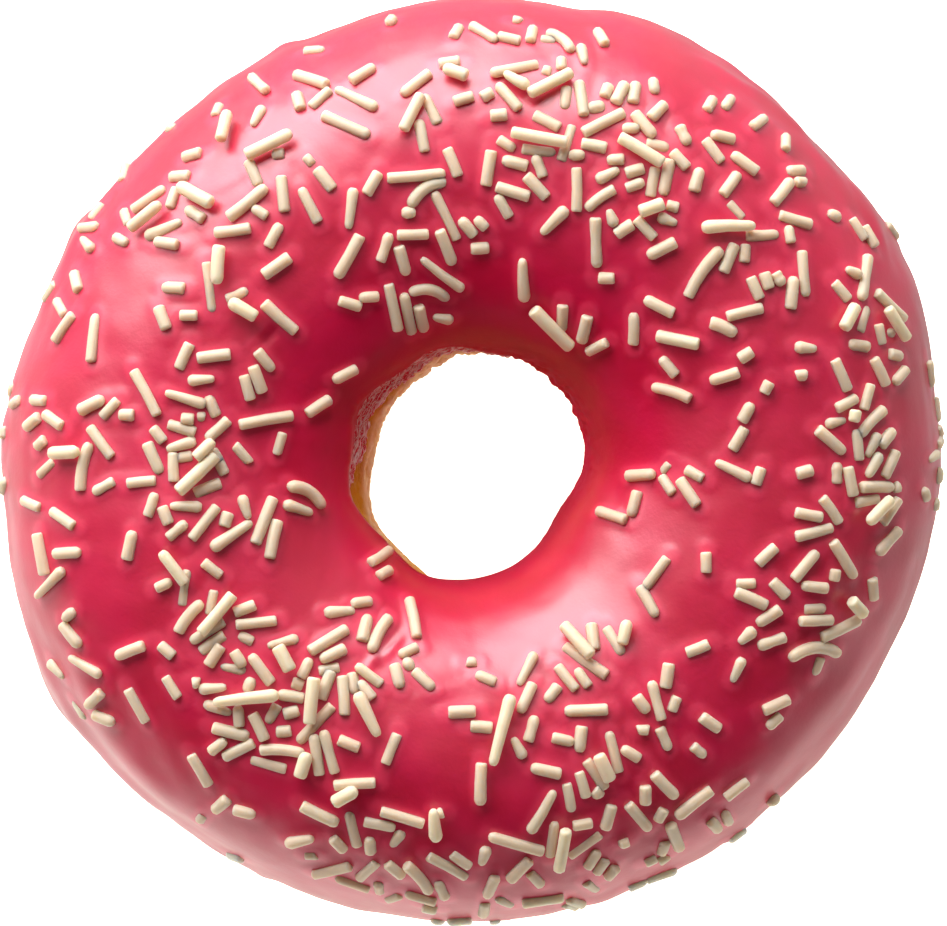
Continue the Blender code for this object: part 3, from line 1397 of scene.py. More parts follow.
FLAT = (
    (-26.85, 29.4, 15, 2.3), (-28, 27.35, 2, 2.4), (-28.7, 25.3, 72, 2.4), (-31.1, 25.1, 35, 3.9),
    (-26.5, 23.7, -33, 2.3), (-36.8, 22.5, 2, 2.2), (-20.5, 36.2, -45, 2.8), (-20.6, 33.1, 62, 2.1),
    (-15.3, 39.3, 3, 2.1), (-7.85, 42.2, 60, 1.1), (-15.5, 36.6, -22, 4), (-10.7, 37.1, 33, 2.9),
    (-16.7, 34.5, -75, 2.2), (-14.6, 34.8, 42, 2.9), (-11.2, 34.8, -27, 4.4), (-12.3, 32.3, -24, 5.1),
    (-5.4, 36.3, 38, 3.6), (-2.3, 38.2, 9, 2.5), (-4.9, 31.1, -79, 3.3), (-2, 28.7, -68, 3.3),
    (-1.65, 41.1, 62, 1.9), (-0.95, 34.75, 18, 2.4), (-18.6, 29.5, 5, 1.6), (-21, 27.7, -66, 3),
    (-21.7, 24.8, 39, 4.9), (-20.3, 23.9, -33, 1.8), (-18.2, 25.7, -84, 3.9), (-15.7, 28.9, -50, 1.5),
    (-14.2, 27.1, -52, 3), (-15.6, 24.5, -63, 3.8), (-11.7, 24.3, 83, 3.8), (-9.65, 26.7, 61, 2.9),
    (-5.6, 27.4, 5, 5.7), (-6.2, 23.9, 0, 1.2), (-0.5, 22.4, -50, 2.3), (0.8, 22.8, -45, 1.6),
    (-23, 22.2, 7, 3.9), (0.9, 41.1, -31, 3.1), (3.4, 40.5, -14, 2.6), (4.15, 42.2, -10, 1.3),
    (5.55, 40.9, 78, 1.9), (10.4, 39, -78, 2), (12.2, 40.6, -66, 2.2), (4, 37.65, 14, 4.8),
    (7, 37.4, -15, 1.4), (8.4, 38.1, 90, 1.6), (10.3, 34.8, -82, 3.8), (11.7, 34, 10, 1.5),
    (12.7, 35.5, 68, 1.8), (14, 35.3, 63, 2.7), (15.35, 35.3, 80, 2.5), (17.2, 36, -80, 1.5),
    (1.3, 35.15, 30, 1.7), (3.4, 34.9, -50, 3.4), (2.4, 33.2, 5, 2.1), (7, 32.6, -28, 3.2),
    (12.4, 32.5, 27, 4.9), (3.05, 30.5, -33, 2), (1.45, 28.15, 81, 3.9), (4.1, 28.6, -15, 2.7),
    (6.3, 28.2, -68, 2.4), (6, 26.4, -47, 3.4), (3.75, 25.9, -17, 3.8), (2.9, 24.4, -60, 2.6),
    (9.85, 29.4, 0, 1.4), (9.85, 26.1, 90, 4.6), (11.5, 30.3, -12, 2.9), (13.7, 28.95, 3, 1.8),
    (12.8, 27.5, 26, 2.3), (15.4, 27.9, 16, 2.3), (15.3, 26.5, 20, 2), (7.7, 23.1, 45, 3.3),
    (19.7, 28.95, -48, 2.6), (16.2, 32.4, -51, 3.2), (15, 31.95, 0, 1.5), (17.6, 33.6, 46, 2.5),
    (21.3, 26.9, 75, 2.5), (19, 24.5, -15, 1.6), (18.5, 23.2, -20, 1.8), (13.2, 23.4, -70, 1.6),
    (14.4, 22.3, 33, 2.4), (16.4, 22.4, -47, 3), (11.7, 21.2, -88, 4.9), (22.55, 34.2, 60, 2),
    (24.3, 34.4, 55, 1.8), (27.2, 32.5, 38, 2.2), (29.8, 30.55, 84, 1.9), (23.9, 31.1, -12, 2.5),
    (22.9, 29.8, -54, 3.1), (26, 28.55, -37, 3.2), (24.5, 26.6, 54, 3.1), (30.8, 27.9, 6, 2),
    (31.2, 26.8, 0, 1.4), (29.4, 25.8, 52, 3.2), (30.7, 23.2, -17, 3.7), (34.4, 23.6, -30, 1.3),
    (36.7, 22.3, -58, 2.8), (37.8, 21.6, -62, 2.7), (39.8, 22.1, -36, 2.2), (-36.9, 20.9, -47, 1.9),
    (-33.7, 21.3, -28, 1.7), (-29.3, 21, -10, 2.7), (-29.6, 22.3, 22, 3.7), (-37.9, 17.3, -73, 2.4),
    (-39.4, 14.8, -58, 2.2), (-39.1, 12.9, 56, 3.6), (-36.3, 11.8, 86, 4.8), (-28.5, 16.7, -4, 2.4),
    (-29.7, 13.85, -68, 2.8), (-27.2, 14.1, 0, 2.1), (-27.6, 10.2, 66, 3.1), (-24.8, 10.2, 7, 3.7),
    (-26, 7.95, 5, 2.4), (-27.5, 6.15, -17, 3.9), (-31.3, 6.7, -61, 5.3), (-27.3, 4.2, -5, 1.7),
    (-24.35, 3.3, 42, 3), (-30.1, 2.7, -52, 2.2), (-36.6, 5.5, 26, 2.9), (-34.7, 5.2, 48, 2.7),
    (-33.1, 4.6, -3, 1.9), (-41.5, 6, -5, 1.9), (-43.7, 5.8, 30, 1.6), (-42.1, 3.9, 38, 2.3),
    (-40.1, 4.1, -35, 2.7), (-41.3, 1.9, 40, 1.7), (-44.8, 2.9, 90, 1.6), (-35.6, 2, -54, 4),
    (-27.9, 1.7, 17, 2.8), (-24.6, 0.7, -60, 1.8), (-19.1, 21.6, 62, 2.7), (-18.8, 18.8, 35, 3.6),
    (-11.85, 19.85, 61, 4.8), (-8.5, 20.45, 71, 3), (-5.8, 21.8, 2, 3.4), (-6.8, 19.45, -74, 3),
    (-2.65, 20.7, -68, 3.7), (-3, 18, -36, 4.8), (-7.65, 14.85, -79, 4.8), (-6.25, 14.15, -79, 4),
    (-5, 13.9, -77, 2.8), (-2.9, 13.8, -8, 1.8), (-11.8, 15.2, -17, 2.6), (-9.85, 15.85, 3, 2),
    (-18.5, 13.9, -42, 4.6), (-20, 9.9, -51, 2.6), (-20.6, 8, -70, 3.2), (-21.6, 7.2, -75, 2.9),
    (-12.15, 8.5, 27, 2.7), (-14.8, 5.4, 34, 3.1), (-19.8, 4.1, 10, 5.6), (0.6, 20.5, 4, 2.2),
    (4.75, 17.45, -87, 4), (10.6, 12.8, 77, 3), (11.8, 11.05, 27, 2.5), (12.7, 17.65, -2, 2),
    (15.3, 12.7, 90, 3.2), (17.85, 14.9, -28, 3.3), (19.5, 11.75, -12, 4.6), (18.7, 9.1, -50, 2.4),
    (18.1, 20.5, 27, 3.2), (30.2, 21.7, -82, 1.8), (24.4, 19.55, 67, 3.4), (31.5, 18.2, -85, 4.5),
    (30.4, 16.1, 84, 3.3), (26.9, 16.7, -66, 2.7), (28, 17.4, -72, 2.1), (29.1, 17.7, -60, 1.6),
    (25.9, 14.4, 14, 4), (31.7, 11, -5, 2), (26, 10.3, 33, 2), (24.1, 8.3, 17, 3.1), (31.3, 8.35, 4, 1.5),
    (28, 7.2, 63, 1.7), (26, 4.7, 62, 2.2), (25.3, 2.3, 60, 2.9), (35.1, 8.4, -66, 3.7),
    (35.6, 5.7, 27, 2.7), (37.6, 6.3, 76, 2.9), (34, 2.2, -40, 3.7), (36.7, 1.6, -84, 3.1),
    (38.1, 1.7, 64, 2.4), (39.4, 2.3, 49, 2.3), (38.8, 8.7, -65, 3.3), (40.8, 8.4, 50, 2.1),
    (40.2, 10.3, -12, 1.8), (38.8, 12.3, -77, 2.4), (36.9, 11.2, -8, 2.2), (35.1, 16.4, -51, 2.6),
    (36.3, 18.2, -25, 1.6), (39.8, 15, -42, 4.3), (43.9, 8.7, -80, 2.7), (44.05, 5.2, -86, 2.5),
    (44.4, 3, -60, 1.5), (44.4, 1.9, 30, 1.6), (43.9, 0.6, 30, 1.6), (-35.2, -2.2, 29, 2.5),
    (-31.7, -1.8, 6, 3.2), (-30.6, 0.6, -66, 3.4), (-28.65, -0.4, 92, 3.2), (-30.8, -4.1, 72, 2.5),
    (-29.4, -5, -68, 2.3), (-27.45, -4.15, -2, 2.9), (-25.7, -5.7, 52, 4.4), (-23.6, -5.4, 73, 1.9),
    (-23.1, -6.9, 34, 4.5), (-28.4, -6.5, 40, 2.5), (-32.85, -8, 78, 3), (-42.2, -3.9, -21, 2.5),
    (-39.2, -5.3, -33, 3.2), (-44.8, -2.2, 60, 1.8), (-41.3, -8.7, -80, 4.5), (-38.9, -8.6, 4, 2.8),
    (-40.5, -11.5, 46, 3.8), (-38.6, -14.5, 40, 1.5), (-38.5, -16.3, -50, 3), (-37.1, -19.4, -29, 3.5),
    (-39.8, -19.7, -46, 2.1), (-32.7, -17.9, 22, 3.2), (-29.3, -17.9, -41, 2.2), (-29.7, -11.7, 25, 1.8),
    (-24.95, -10.1, -38, 2.6), (-25.3, -16, 32, 3.9), (-24.7, -18.4, 57, 2.8), (-22.5, -18.6, -58, 2),
    (-26.5, -21, 0, 1.2), (-24.9, -21.5, 5, 2.5), (-21.8, -4.2, -74, 2.2), (-20, -5.5, 69, 5.2),
    (-19.1, -7.3, 79, 4.2), (-16.75, -4.35, -19, 2.8), (-8.9, -8.9, 33, 2.7), (-8.5, -10.5, 28, 1.8),
    (-5.75, -14.8, -77, 4.1), (-10.4, -15.9, 77, 2.8), (-12.8, -14.2, 4, 2.8), (-10.6, -13.3, 6, 2.1),
    (-6.1, -17.9, 25, 2.1), (-13.85, -16.9, 31, 4.6), (-13.3, -18.2, 25, 2.8), (-21.85, -13.9, 21, 2.6),
    (-20.75, -15.25, 6, 4.3), (-20.2, -19.8, -54, 3.6), (-16.1, -19.7, 65, 2.2), (-21.4, -21.2, 70, 1.4),
    (-9.9, -20.3, -37, 3.2), (-7.3, -20.2, -75, 2.5), (-6.2, -19.2, -60, 1.1), (-4.85, -20.6, -43, 2.7),
    (15.85, -1.15, 4, 2.9), (15.4, -3.75, 75, 2.7), (13.2, -5, -18, 3.3), (18.5, -2.1, -57, 2.4),
    (20.5, -2.8, -56, 3.5), (21.1, -1.05, -30, 2.3), (17.5, -10.4, 55, 3.8), (16.6, -13.1, -61, 3.4),
    (22.2, -9.5, 91, 2.4), (11.4, -16.6, -83, 3), (8.9, -20.5, -52, 3.3), (10.5, -20.6, -55, 2.2),
    (5.1, -19.65, 62, 3.3), (1.3, -20.6, -23, 2.2), (21.4, -17.7, 22, 2.8), (18.5, -20.3, 82, 2.9),
    (24.8, -0.7, -26, 3.6), (27.2, -1.25, 72, 2.2), (31.6, -0.85, 15, 2.1), (36, -1.75, -79, 3.3),
    (38.2, -0.2, 60, 2.5), (39.8, -0.1, 66, 3.2), (38.4, -2.3, 0, 3.6), (40.4, -2.3, 0, 1),
    (39.8, -4.6, 58, 3.3), (34.1, -4.5, -55, 3.4), (32, -4.95, -11, 3.1), (32.5, -6.6, 14, 4.1),
    (35.3, -9.1, -58, 4.3), (39.7, -7.4, 46, 3.4), (31.6, -9.9, 50, 3.7), (28, -8.8, 43, 2.9),
    (26.5, -12.95, -24, 3.8), (29.2, -12, -46, 2.6), (34.5, -10.7, 80, 1.6), (32.7, -11.85, -7, 2.7),
    (32.7, -15.05, 1, 3.7), (28.3, -14.55, 33, 2.9), (26.1, -16.5, 42, 1.9), (28.6, -17, 19, 3),
    (35, -15.8, 25, 4.6), (38.1, -12, -83, 2.6), (25.2, -19.75, 67, 2.4), (43.1, -3, -70, 1.3),
    (44, -4, -80, 1.4), (44.3, -1.2, 80, 1.5), (-36.15, -22.5, 43, 2.5), (-35.4, -24.35, -21, 2.4),
    (-32.1, -23.15, -62, 4.1), (-28.8, -21.4, -58, 2.8), (-26.1, -29.3, -60, 3.9), (-24.5, -27.1, 38, 2.1),
    (-22.4, -27.4, 27, 3.7), (-23.3, -25.65, -14, 3.8), (-22.4, -24.3, -86, 2.2), (-24.1, -32.6, 42, 2.3),
    (-22, -33.3, -15, 2.3), (-22.7, -37.5, -5, 2), (-20.5, -25.2, -64, 3.3), (-17.4, -23.8, 15, 2),
    (-17.3, -22.3, -9, 2.7), (-18.1, -25.6, 5, 1.9), (-14.1, -21.2, 70, 3.4), (-12.4, -22.2, -86, 4.2),
    (-10.2, -21.8, -50, 2.3), (-11.9, -26.8, -22, 2.6), (-7.85, -27.3, 68, 3.5), (-14.95, -28, -82, 4.1),
    (-13.75, -27.7, -75, 4.4), (-11.35, -30.65, 4, 4.4), (-14.8, -33.5, -26, 4.1), (-6.8, -33.85, -17, 4.7),
    (-9.1, -34.5, -12, 3.2), (-3.2, -33.4, 0, 0.9), (-9.85, -36.6, -88, 1.9), (-12.9, -36.4, -48, 2.2),
    (-16.6, -36.1, 12, 2.7), (-13.5, -38.9, 16, 4.2), (-10.1, -38.9, 44, 2.9), (-7.5, -38.8, -41, 2.5),
    (-2.5, -38.5, -31, 4.7), (-1.2, -37.9, -35, 2.6), (-3, -40.8, -65, 2.1), (-4.9, -41.5, -17, 3.2),
    (-4.2, -42.5, -15, 1.8), (-1.2, -43.6, 5, 2.5), (-3.4, -43.6, 0, 1.2), (-1.1, -23.75, 2, 3.1),
    (0.75, -25.2, -5, 2.6), (5.1, -22.3, 65, 3.2), (7.6, -21.9, 52, 2.1), (5.5, -25.5, 74, 2.7),
    (4.3, -27.2, -62, 2.1), (0.7, -30.5, 88, 4.2), (8.4, -26.4, -13, 2.3), (10.25, -26.2, 84, 2.7),
    (10.9, -23.6, 2, 4.3), (7.05, -29.4, -13, 3.1), (6.55, -33.3, 60, 4.6), (9.1, -31.8, -80, 2.9),
    (10.4, -30.7, -74, 3), (11.8, -31.5, -55, 1.4), (15.1, -27.8, -32, 2.2), (16.2, -25.5, 0, 1.5),
    (16, -22.9, -54, 2.1), (17.5, -22.8, -75, 4), (19.2, -23, 70, 1.9), (18.15, -26.2, -67, 2.5),
    (22.6, -24.8, -35, 2.7), (18.2, -30.7, -46, 3.4), (16.4, -31.7, 90, 2.3), (15.7, -33.7, -50, 3.5),
    (12.9, -33.8, 74, 2.9), (17.9, -33.6, 60, 1.8), (21.15, -32.4, 38, 4.5), (19.25, -35.7, -68, 3.3),
    (10.4, -34.5, 9, 2.3), (4.2, -36.4, -17, 5.6), (1, -37.5, 73, 1.9), (4.4, -38.85, 46, 3.3),
    (5.9, -39.7, -48, 2.2), (1.7, -40.4, 68, 2.6), (6.6, -41.7, 8, 4.4), (11.3, -37.9, 60, 2.2),
    (12.2, -38.5, 58, 2.1), (13.2, -39.1, 55, 1.9), (14.4, -36.3, 20, 1.4), (16.9, -37.9, 25, 1.6),
    (18.1, -36.7, 75, 1.8), (18.1, -37.8, 30, 1.5), (17.8, -39.3, 18, 3.2), (15.5, -40.2, 20, 2),
    (9.8, -41.9, -25, 2), (2, -43.6, 0, 1.4), (28.9, -23.1, 24, 3.2), (28.8, -24.6, 42, 1.9),
    (25.1, -31.15, 37, 3.1), (24.2, -33.9, -65, 1.6), (23, -34.6, -50, 1.8), (25.1, -35.4, 30, 2.3),
    (28.9, -32.5, 35, 1.2),
)
HIGH = (
    (-23.85, 32.1, 79, 3.2), (-26.5, 25.6, -29, 4), (-31.5, 23.5, 38, 4), (-19.7, 30.4, 25, 5.1),
    (-5.85, 33.5, 63, 4.3), (-1.6, 37.3, -20, 2.6), (4.1, 36.6, -31, 2.6), (7.35, 36.3, 28, 5.1),
    (6.3, 31.1, -11, 5.9), (16, 29.9, -31, 5.3), (17, 24.4, 20, 3), (24.35, 22.6, 2, 5),
    (7.5, 12.8, -45, 5.7), (36.4, 4.5, 80, 1.6), (35.95, 13.95, 61, 3.1), (40.5, 13.3, -55, 4),
    (-24.4, 19.1, 87, 3.9), (-21.9, 14.6, -31, 3.2), (-39.2, 1, 3, 3.1), (-25.8, 1.2, 45, 2.6),
    (-26.4, -1, 44, 5.6), (-28.6, -10.1, -53, 4), (-24.5, -14.4, 50, 5.3), (-18.1, -18.65, -62, 3.2),
    (9.9, -16.9, -48, 4.5), (14.4, -16.3, 77, 2.5), (38.9, -4.5, 43, 3.5), (36.7, -13.8, -47, 2.5),
    (-21.75, -22.5, 7, 6.2), (-15.45, -22.7, 84, 5), (-10.1, -24, -64, 4.5), (-16.3, -29, 73, 2.7),
    (-12.4, -31.9, 30, 2.8), (-3.7, -34.6, -85, 3.1), (2.7, -25.5, 75, 6.8), (12.5, -29.1, -65, 3.3),
    (8.5, -37, 80, 4.6),
)
SHAPED = (
    (Mould.ARCHED, -4.5, 25.9, 35, 4), (Mould.ARCHED, -4.2, 16.2, -10, 3.6),
    (Mould.ARCHED, -15.9, -3, -32, 3.8), (Mould.ARCHED, 32.6, -18.1, 3, 5),
    (Mould.ARCHED, 8.3, 40.3, -40, 3), (Mould.BOWED, 12.2, 25.3, 35, 3.5), (Mould.BOWED, 19, 6.7, -18, 4),
    (Mould.BOWED, 21.9, 18.1, 56, 5.8), (Mould.BOWED, 23.7, 12.95, -24, 2.9),
    (Mould.BOWED, 38.1, 4, 46, 3.7), (Mould.BOWED, -37.2, -0.5, 80, 4.8),
    (Mould.BOWED, -27.2, -14.8, 52, 3.9), (Mould.BOWED, -8.9, -16.2, 62, 3.9),
    (Mould.BOWED, -5.3, -39.6, -52, 4), (Mould.BOWED, -18.4, -27.5, -3, 4.4),
    (Mould.PINCHED, 20, 31.4, -64, 2.2), (Mould.PINCHED, 37.35, 17.8, 80, 4.6),
    (Mould.PINCHED, 21.4, -27.4, -40, 1.8), (Mould.SHARD, -18.5, 1.9, 75, 2.5),
    (Mould.SHARD, -22.1, 0.9, -50, 2.6), (Mould.SHARD, -0.2, -19, 0, 1.3),
)


@dataclass
class Sprinkles:
    """All the sugar strands, placed one by one and joined into one piece.

    Attributes:
        ring: The circle through the section.
        eye: The point that the listed places are seen from, straight over their origin.
        seed: Fixes the random draws.
        finish: What they look like.
        thickness: A strand's usual thickness.
        shortest: A strand shorter than this, in millimetres, is a bead or a shard.
        sides: How many sides a strand has.
        low_on_side: How many land on the outer side below its widest point, and a few of them don't stick.
        steepest: On a steeper slope than this, a strand seen from above isn't drawn out any more.
        ends: How much of a strand's length is in the soft rounding of its ends.
        placed: The strands that have found their place.
    """

    ring: Ring
    eye: Vector
    seed: int = 7
    finish: StrandFinish = field(default_factory=StrandFinish)
    thickness: float = 1.13 * MM
    shortest: float = 1.6
    sides: int = 8
    low_on_side: int = 30
    steepest: float = 0.42
    ends: float = 0.22 * MM
    placed: list[Strand] = field(default_factory=list)

    def settle(self, coat: bpy.types.Object) -> list[Strand]:
        """Finds every strand's place on the coat.

        Args:
            coat: The icing that they fall on.

        Returns:
            The strands.
        """
        self.draw = random.Random(self.seed)
        self.surface = BVHTree.FromObject(coat, bpy.context.evaluated_depsgraph_get())
        for bed, rows in ((Bed.SUNK, SUNK), (Bed.FLAT, FLAT), (Bed.HIGH, HIGH)):
            for across, along, heading, length in rows:
                self.lay(bed, self.pick(length), across, along, heading, length)
        for mould, across, along, heading, length in SHAPED:
            self.lay(Bed.FLAT, mould, across, along, heading, length)
        for _ in range(self.low_on_side):
            self.stick()
        LOG.info("strands placed: %d", len(self.placed))
        return self.placed

    def pick(self, length: float) -> Mould:
        """Picks a common shape for a strand.

        Args:
            length: The strand's length, in millimetres.

        Returns:
            The shape.
        """
        if length < self.shortest:
            return self.draw.choice((Mould.BEAD, Mould.SHARD))
        return self.draw.choices(list(COMMON_SHAPES), weights=COMMON_SHAPES.values())[0]

    def lay(self, bed: Bed, mould: Mould, across: float, along: float, heading: float, length: float) -> None:
        """Lays a strand so that it is seen at a given place from above.

        Args:
            bed: How deep it lies.
            mould: Its shape.
            across: Its middle's X, in millimetres.
            along: Its middle's Y, in millimetres.
            heading: Its direction, in degrees.
            length: How long it looks, in millimetres.
        """
        # A ray that passes the rim by is aimed again, a little nearer the axis
        for inward in (1.0, 0.99, 0.98, 0.97, 0.96):
            drop = self.ring.height - self.eye.z
            aim = Vector((across * MM * inward, along * MM * inward, drop)).normalized()
            hit, normal, _, _ = self.surface.ray_cast(self.eye, aim)
            if hit is not None and normal.z > 0.02:
                break
        else:
            return
        flat = Vector((math.cos(math.radians(heading)), math.sin(math.radians(heading)), 0))
        drawn = flat - UP * flat.dot(normal) / max(normal.z, self.steepest)
        nearer = (self.eye.z - hit.z) / (self.eye.z - self.ring.height)
        low, high = bed.value
        thickness = self.thickness * self.draw.uniform(0.90, 1.06) * (1.1 if bed is Bed.HIGH else 1.0)
        real = max(length * MM * nearer + self.ends - thickness, 0.15 * MM) * drawn.length + thickness
        axis = (drawn - normal * drawn.dot(normal)).normalized()
        axis = (axis + normal * self.draw.gauss(0, 0.03)).normalized()
        # On a steep slope a strand is sunk deeper
        deeper = 0.34 * max(0.0, 1 - max(normal.z, 0.0) / 0.4)
        lift = thickness * (0.5 + self.draw.uniform(low, high) - deeper)
        centre = hit - aim * lift / max(-normal.dot(aim), self.steepest)
        # The ones on the steep front of the rim, facing away from the key light, are painted paler: painted
        # light in their shade
        steep = max(0.0, min(1.0, (0.55 - normal.z) / 0.35))
        tone = TONES[bed] + 3.0 * steep * max(0.0, -normal.y)
        turns = {Mould.ARCHED: self.draw.uniform(66, 92), Mould.BOWED: self.draw.uniform(22, 34)}
        nearly_straight = self.draw.gauss(0, 5)
        bend = math.radians(turns.get(mould, nearly_straight))
        self.placed.append(Strand(centre, axis, normal.copy(), real, thickness, mould, tone, bend))

    def stick(self) -> None:
        """Sticks one strand to the side, low enough to be out of sight from above."""
        angle = self.draw.uniform(0, math.tau)
        outward = Vector((math.cos(angle), math.sin(angle), 0))
        start = outward * 80 * MM + UP * self.draw.uniform(11.2, 14.4) * MM
        hit, normal, _, _ = self.surface.ray_cast(start, -outward)
        if hit is None or normal.z < -0.5:
            return
        tilt = self.draw.uniform(-50, 50)
        side = UP.cross(normal).normalized()
        axis = Matrix.Rotation(math.radians(tilt), 3, normal) @ side
        length = self.draw.uniform(1.9, 3.6) * MM
        centre = hit + normal * self.thickness * self.draw.uniform(-0.42, -0.26)
        self.placed.append(Strand(centre, axis, normal.copy(), length, self.thickness, Mould.ROUNDED, 0.6))

    def build(self) -> bpy.types.Object:
        """Copies a moulded strand to every place and joins them.

        Returns:
            The finished piece.
        """
        moulds = {mould: self.model(mould) for mould in Mould}
        copies = [self.copy(moulds[strand.mould], strand) for strand in self.placed]
        for mould in moulds.values():
            bpy.data.objects.remove(mould)
        hold(copies[0])
        for copy in copies:
            copy.select_set(True)
        bpy.ops.object.join()
        piece = bpy.context.active_object
        piece.name = piece.data.name = "sugar_strands"
        dress(piece, self.finish.make())
        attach(piece, "root")
        return piece

    def copy(self, mould: bpy.types.Object, strand: Strand) -> bpy.types.Object:
        """Puts a copy of a mould where a strand lies, a little different from the others.

        Args:
            mould: The moulded strand, along Z, a unit thick and long.
            strand: Where it goes.

        Returns:
            The copy.
        """
        data = mould.data.copy()
        piece = bpy.data.objects.new("strand", data)
        bpy.context.scene.collection.objects.link(piece)
        flip = self.draw.choice((-1, 1))
        self.form(data, strand)
        side = strand.up.cross(strand.axis).normalized()
        up = strand.axis.cross(side)
        turned = Matrix((side, up * flip, strand.axis * flip)).transposed().to_4x4()
        place = Matrix.Translation(strand.centre) @ turned @ Matrix.Scale(strand.thickness, 4)
        data.transform(place)
        tone = max(0.0, self.draw.gauss(strand.tone, 0.10))
        attribute = data.attributes.new("tone", "FLOAT", "POINT")
        attribute.data.foreach_set("value", np.full(len(data.vertices), tone, np.float32))
        return piece

    def form(self, data: bpy.types.Mesh, strand: Strand) -> None:
        """Spins, stretches and bends a copied mould into one strand, a thickness thick.

        Args:
            data: The copy's mesh.
            strand: What it becomes.
        """
        # Only a mould's straight middle, from -1/2 to 1/2, takes up the strand's length
        stretch = (strand.length - strand.thickness) / strand.thickness
        spin = Matrix.Rotation(self.draw.uniform(0, math.tau), 3, "Z")
        wobble = self.draw.uniform(0, 50)
        half = abs(strand.bend) / 2 + 1e-6
        radius = math.copysign((strand.length / strand.thickness) / (2 * math.sin(half)), strand.bend)
        for vertex in data.vertices:
            vertex.co = spin @ vertex.co
            height = vertex.co.z
            middle = max(-0.5, min(0.5, height))
            swell = 1 + 0.07 * noise.noise(Vector((wobble, height * 0.9, 0)))
            turn = (middle * stretch + height - middle) * half / math.sin(half) / radius
            out = radius + vertex.co.x * swell
            vertex.co.x = out * math.cos(turn) - radius * (1 + math.cos(half)) / 2
            vertex.co.y *= swell
            vertex.co.z = out * math.sin(turn)

    def model(self, mould: Mould) -> bpy.types.Object:
        """Models one strand at the origin along Z, a unit thick, with its straight part from -1/2 to 1/2.

        Args:
            mould: Its shape.

        Returns:
            The moulded strand.
        """
        bpy.ops.object.select_all(action="DESELECT")
        bpy.ops.mesh.primitive_cylinder_add(vertices=self.sides, radius=0.5, depth=1.0, end_fill_type="NGON")
        piece = bpy.context.active_object
        for end in (1, -1):
            centres = face_array(piece.data, "center")
            normals = face_array(piece.data, "normal")
            edit_faces(piece, (normals[:, 2] * end > 0.9) & (centres[:, 2] * end > 0.4))
            reached = 1.0
            for rise, width in FLAT_END if end in FLAT_ENDS.get(mould, ()) else ROUND_END:
                bpy.ops.mesh.extrude_region_move(TRANSFORM_OT_translate={"value": (0, 0, rise * end)})
                bpy.ops.transform.resize(value=(width / reached, width / reached, 1))
                reached = width
            close_edit()
        self.shape_mould(piece, mould)
        return piece

    def shape_mould(self, piece: bpy.types.Object, mould: Mould) -> None:
        """Tapers, pinches or breaks a moulded strand, and cuts it across so that it can bend.

        Args:
            piece: The straight strand.
            mould: The shape that it gets.
        """
        edit_faces(piece, np.ones(len(piece.data.polygons), bool))
        for height in CUTS_ACROSS.get(mould, (0.0,)):
            bpy.ops.mesh.select_all(action="SELECT")
            bpy.ops.mesh.bisect(plane_co=(0, 0, height), plane_no=(0, 0, 1))
        close_edit()
        for vertex in piece.data.vertices:
            x, y, z = vertex.co
            share = max(-1.0, min(1.0, 2 * z))
            if mould is Mould.TAPERED:
                width = 0.92 - 0.13 * share
                x, y = x * width, y * width
            elif mould is Mould.PINCHED:
                width = 1 - 0.11 * math.exp(-((share / 0.5) ** 2))
                x, y = x * width, y * width
            elif mould is Mould.SHARD:
                z += 0.30 * x * (1 if z > 0 else -0.5)
                y *= 0.88
            vertex.co = (x, y, z)


# ---------------------------------------------------------------------------------------------------------
# The studio
# ---------------------------------------------------------------------------------------------------------


@dataclass(frozen=True)
class Lamp:
    """A soft light that isn't itself in view.

    Attributes:
        name: Its name.
        place: Where it hangs, in metres.
        size: Its width and height.
        power: Its power, in watts.
        mirrored: Whether the gloss of the icing shows it.
        upward: Whether it looks straight up, and not at the middle of the base.
    """

    name: str
    place: tuple[float, float, float]
    size: tuple[float, float]
    power: float
    mirrored: bool = True
    upward: bool = False

    def hang(self) -> None:
        """Puts the light in the scene."""
        lamp = bpy.data.lights.new(self.name, "AREA")
        lamp.shape = "RECTANGLE"
        lamp.size, lamp.size_y = self.size
        lamp.energy = self.power
        light = bpy.data.objects.new(self.name, lamp)
        bpy.context.scene.collection.objects.link(light)
        light.location = self.place
        towards_base = (-Vector(self.place)).to_track_quat("-Z", "Y").to_euler()
        light.rotation_euler = (math.pi, 0, 0) if self.upward else towards_base
        light.visible_camera = False
        light.visible_glossy = self.mirrored


LAMPS = (
    Lamp("key", (-0.20, 0.47, 0.29), (0.72, 0.54), 7.9),
    Lamp("fill", (0.08, -0.50, 0.08), (1.00, 0.16), 0.8, mirrored=False),
    # This one stands for the light that the table throws up into the hole
    Lamp("well", (0, 0, 0.5 * MM), (15 * MM, 15 * MM), 0.0032, mirrored=False, upward=True),
)


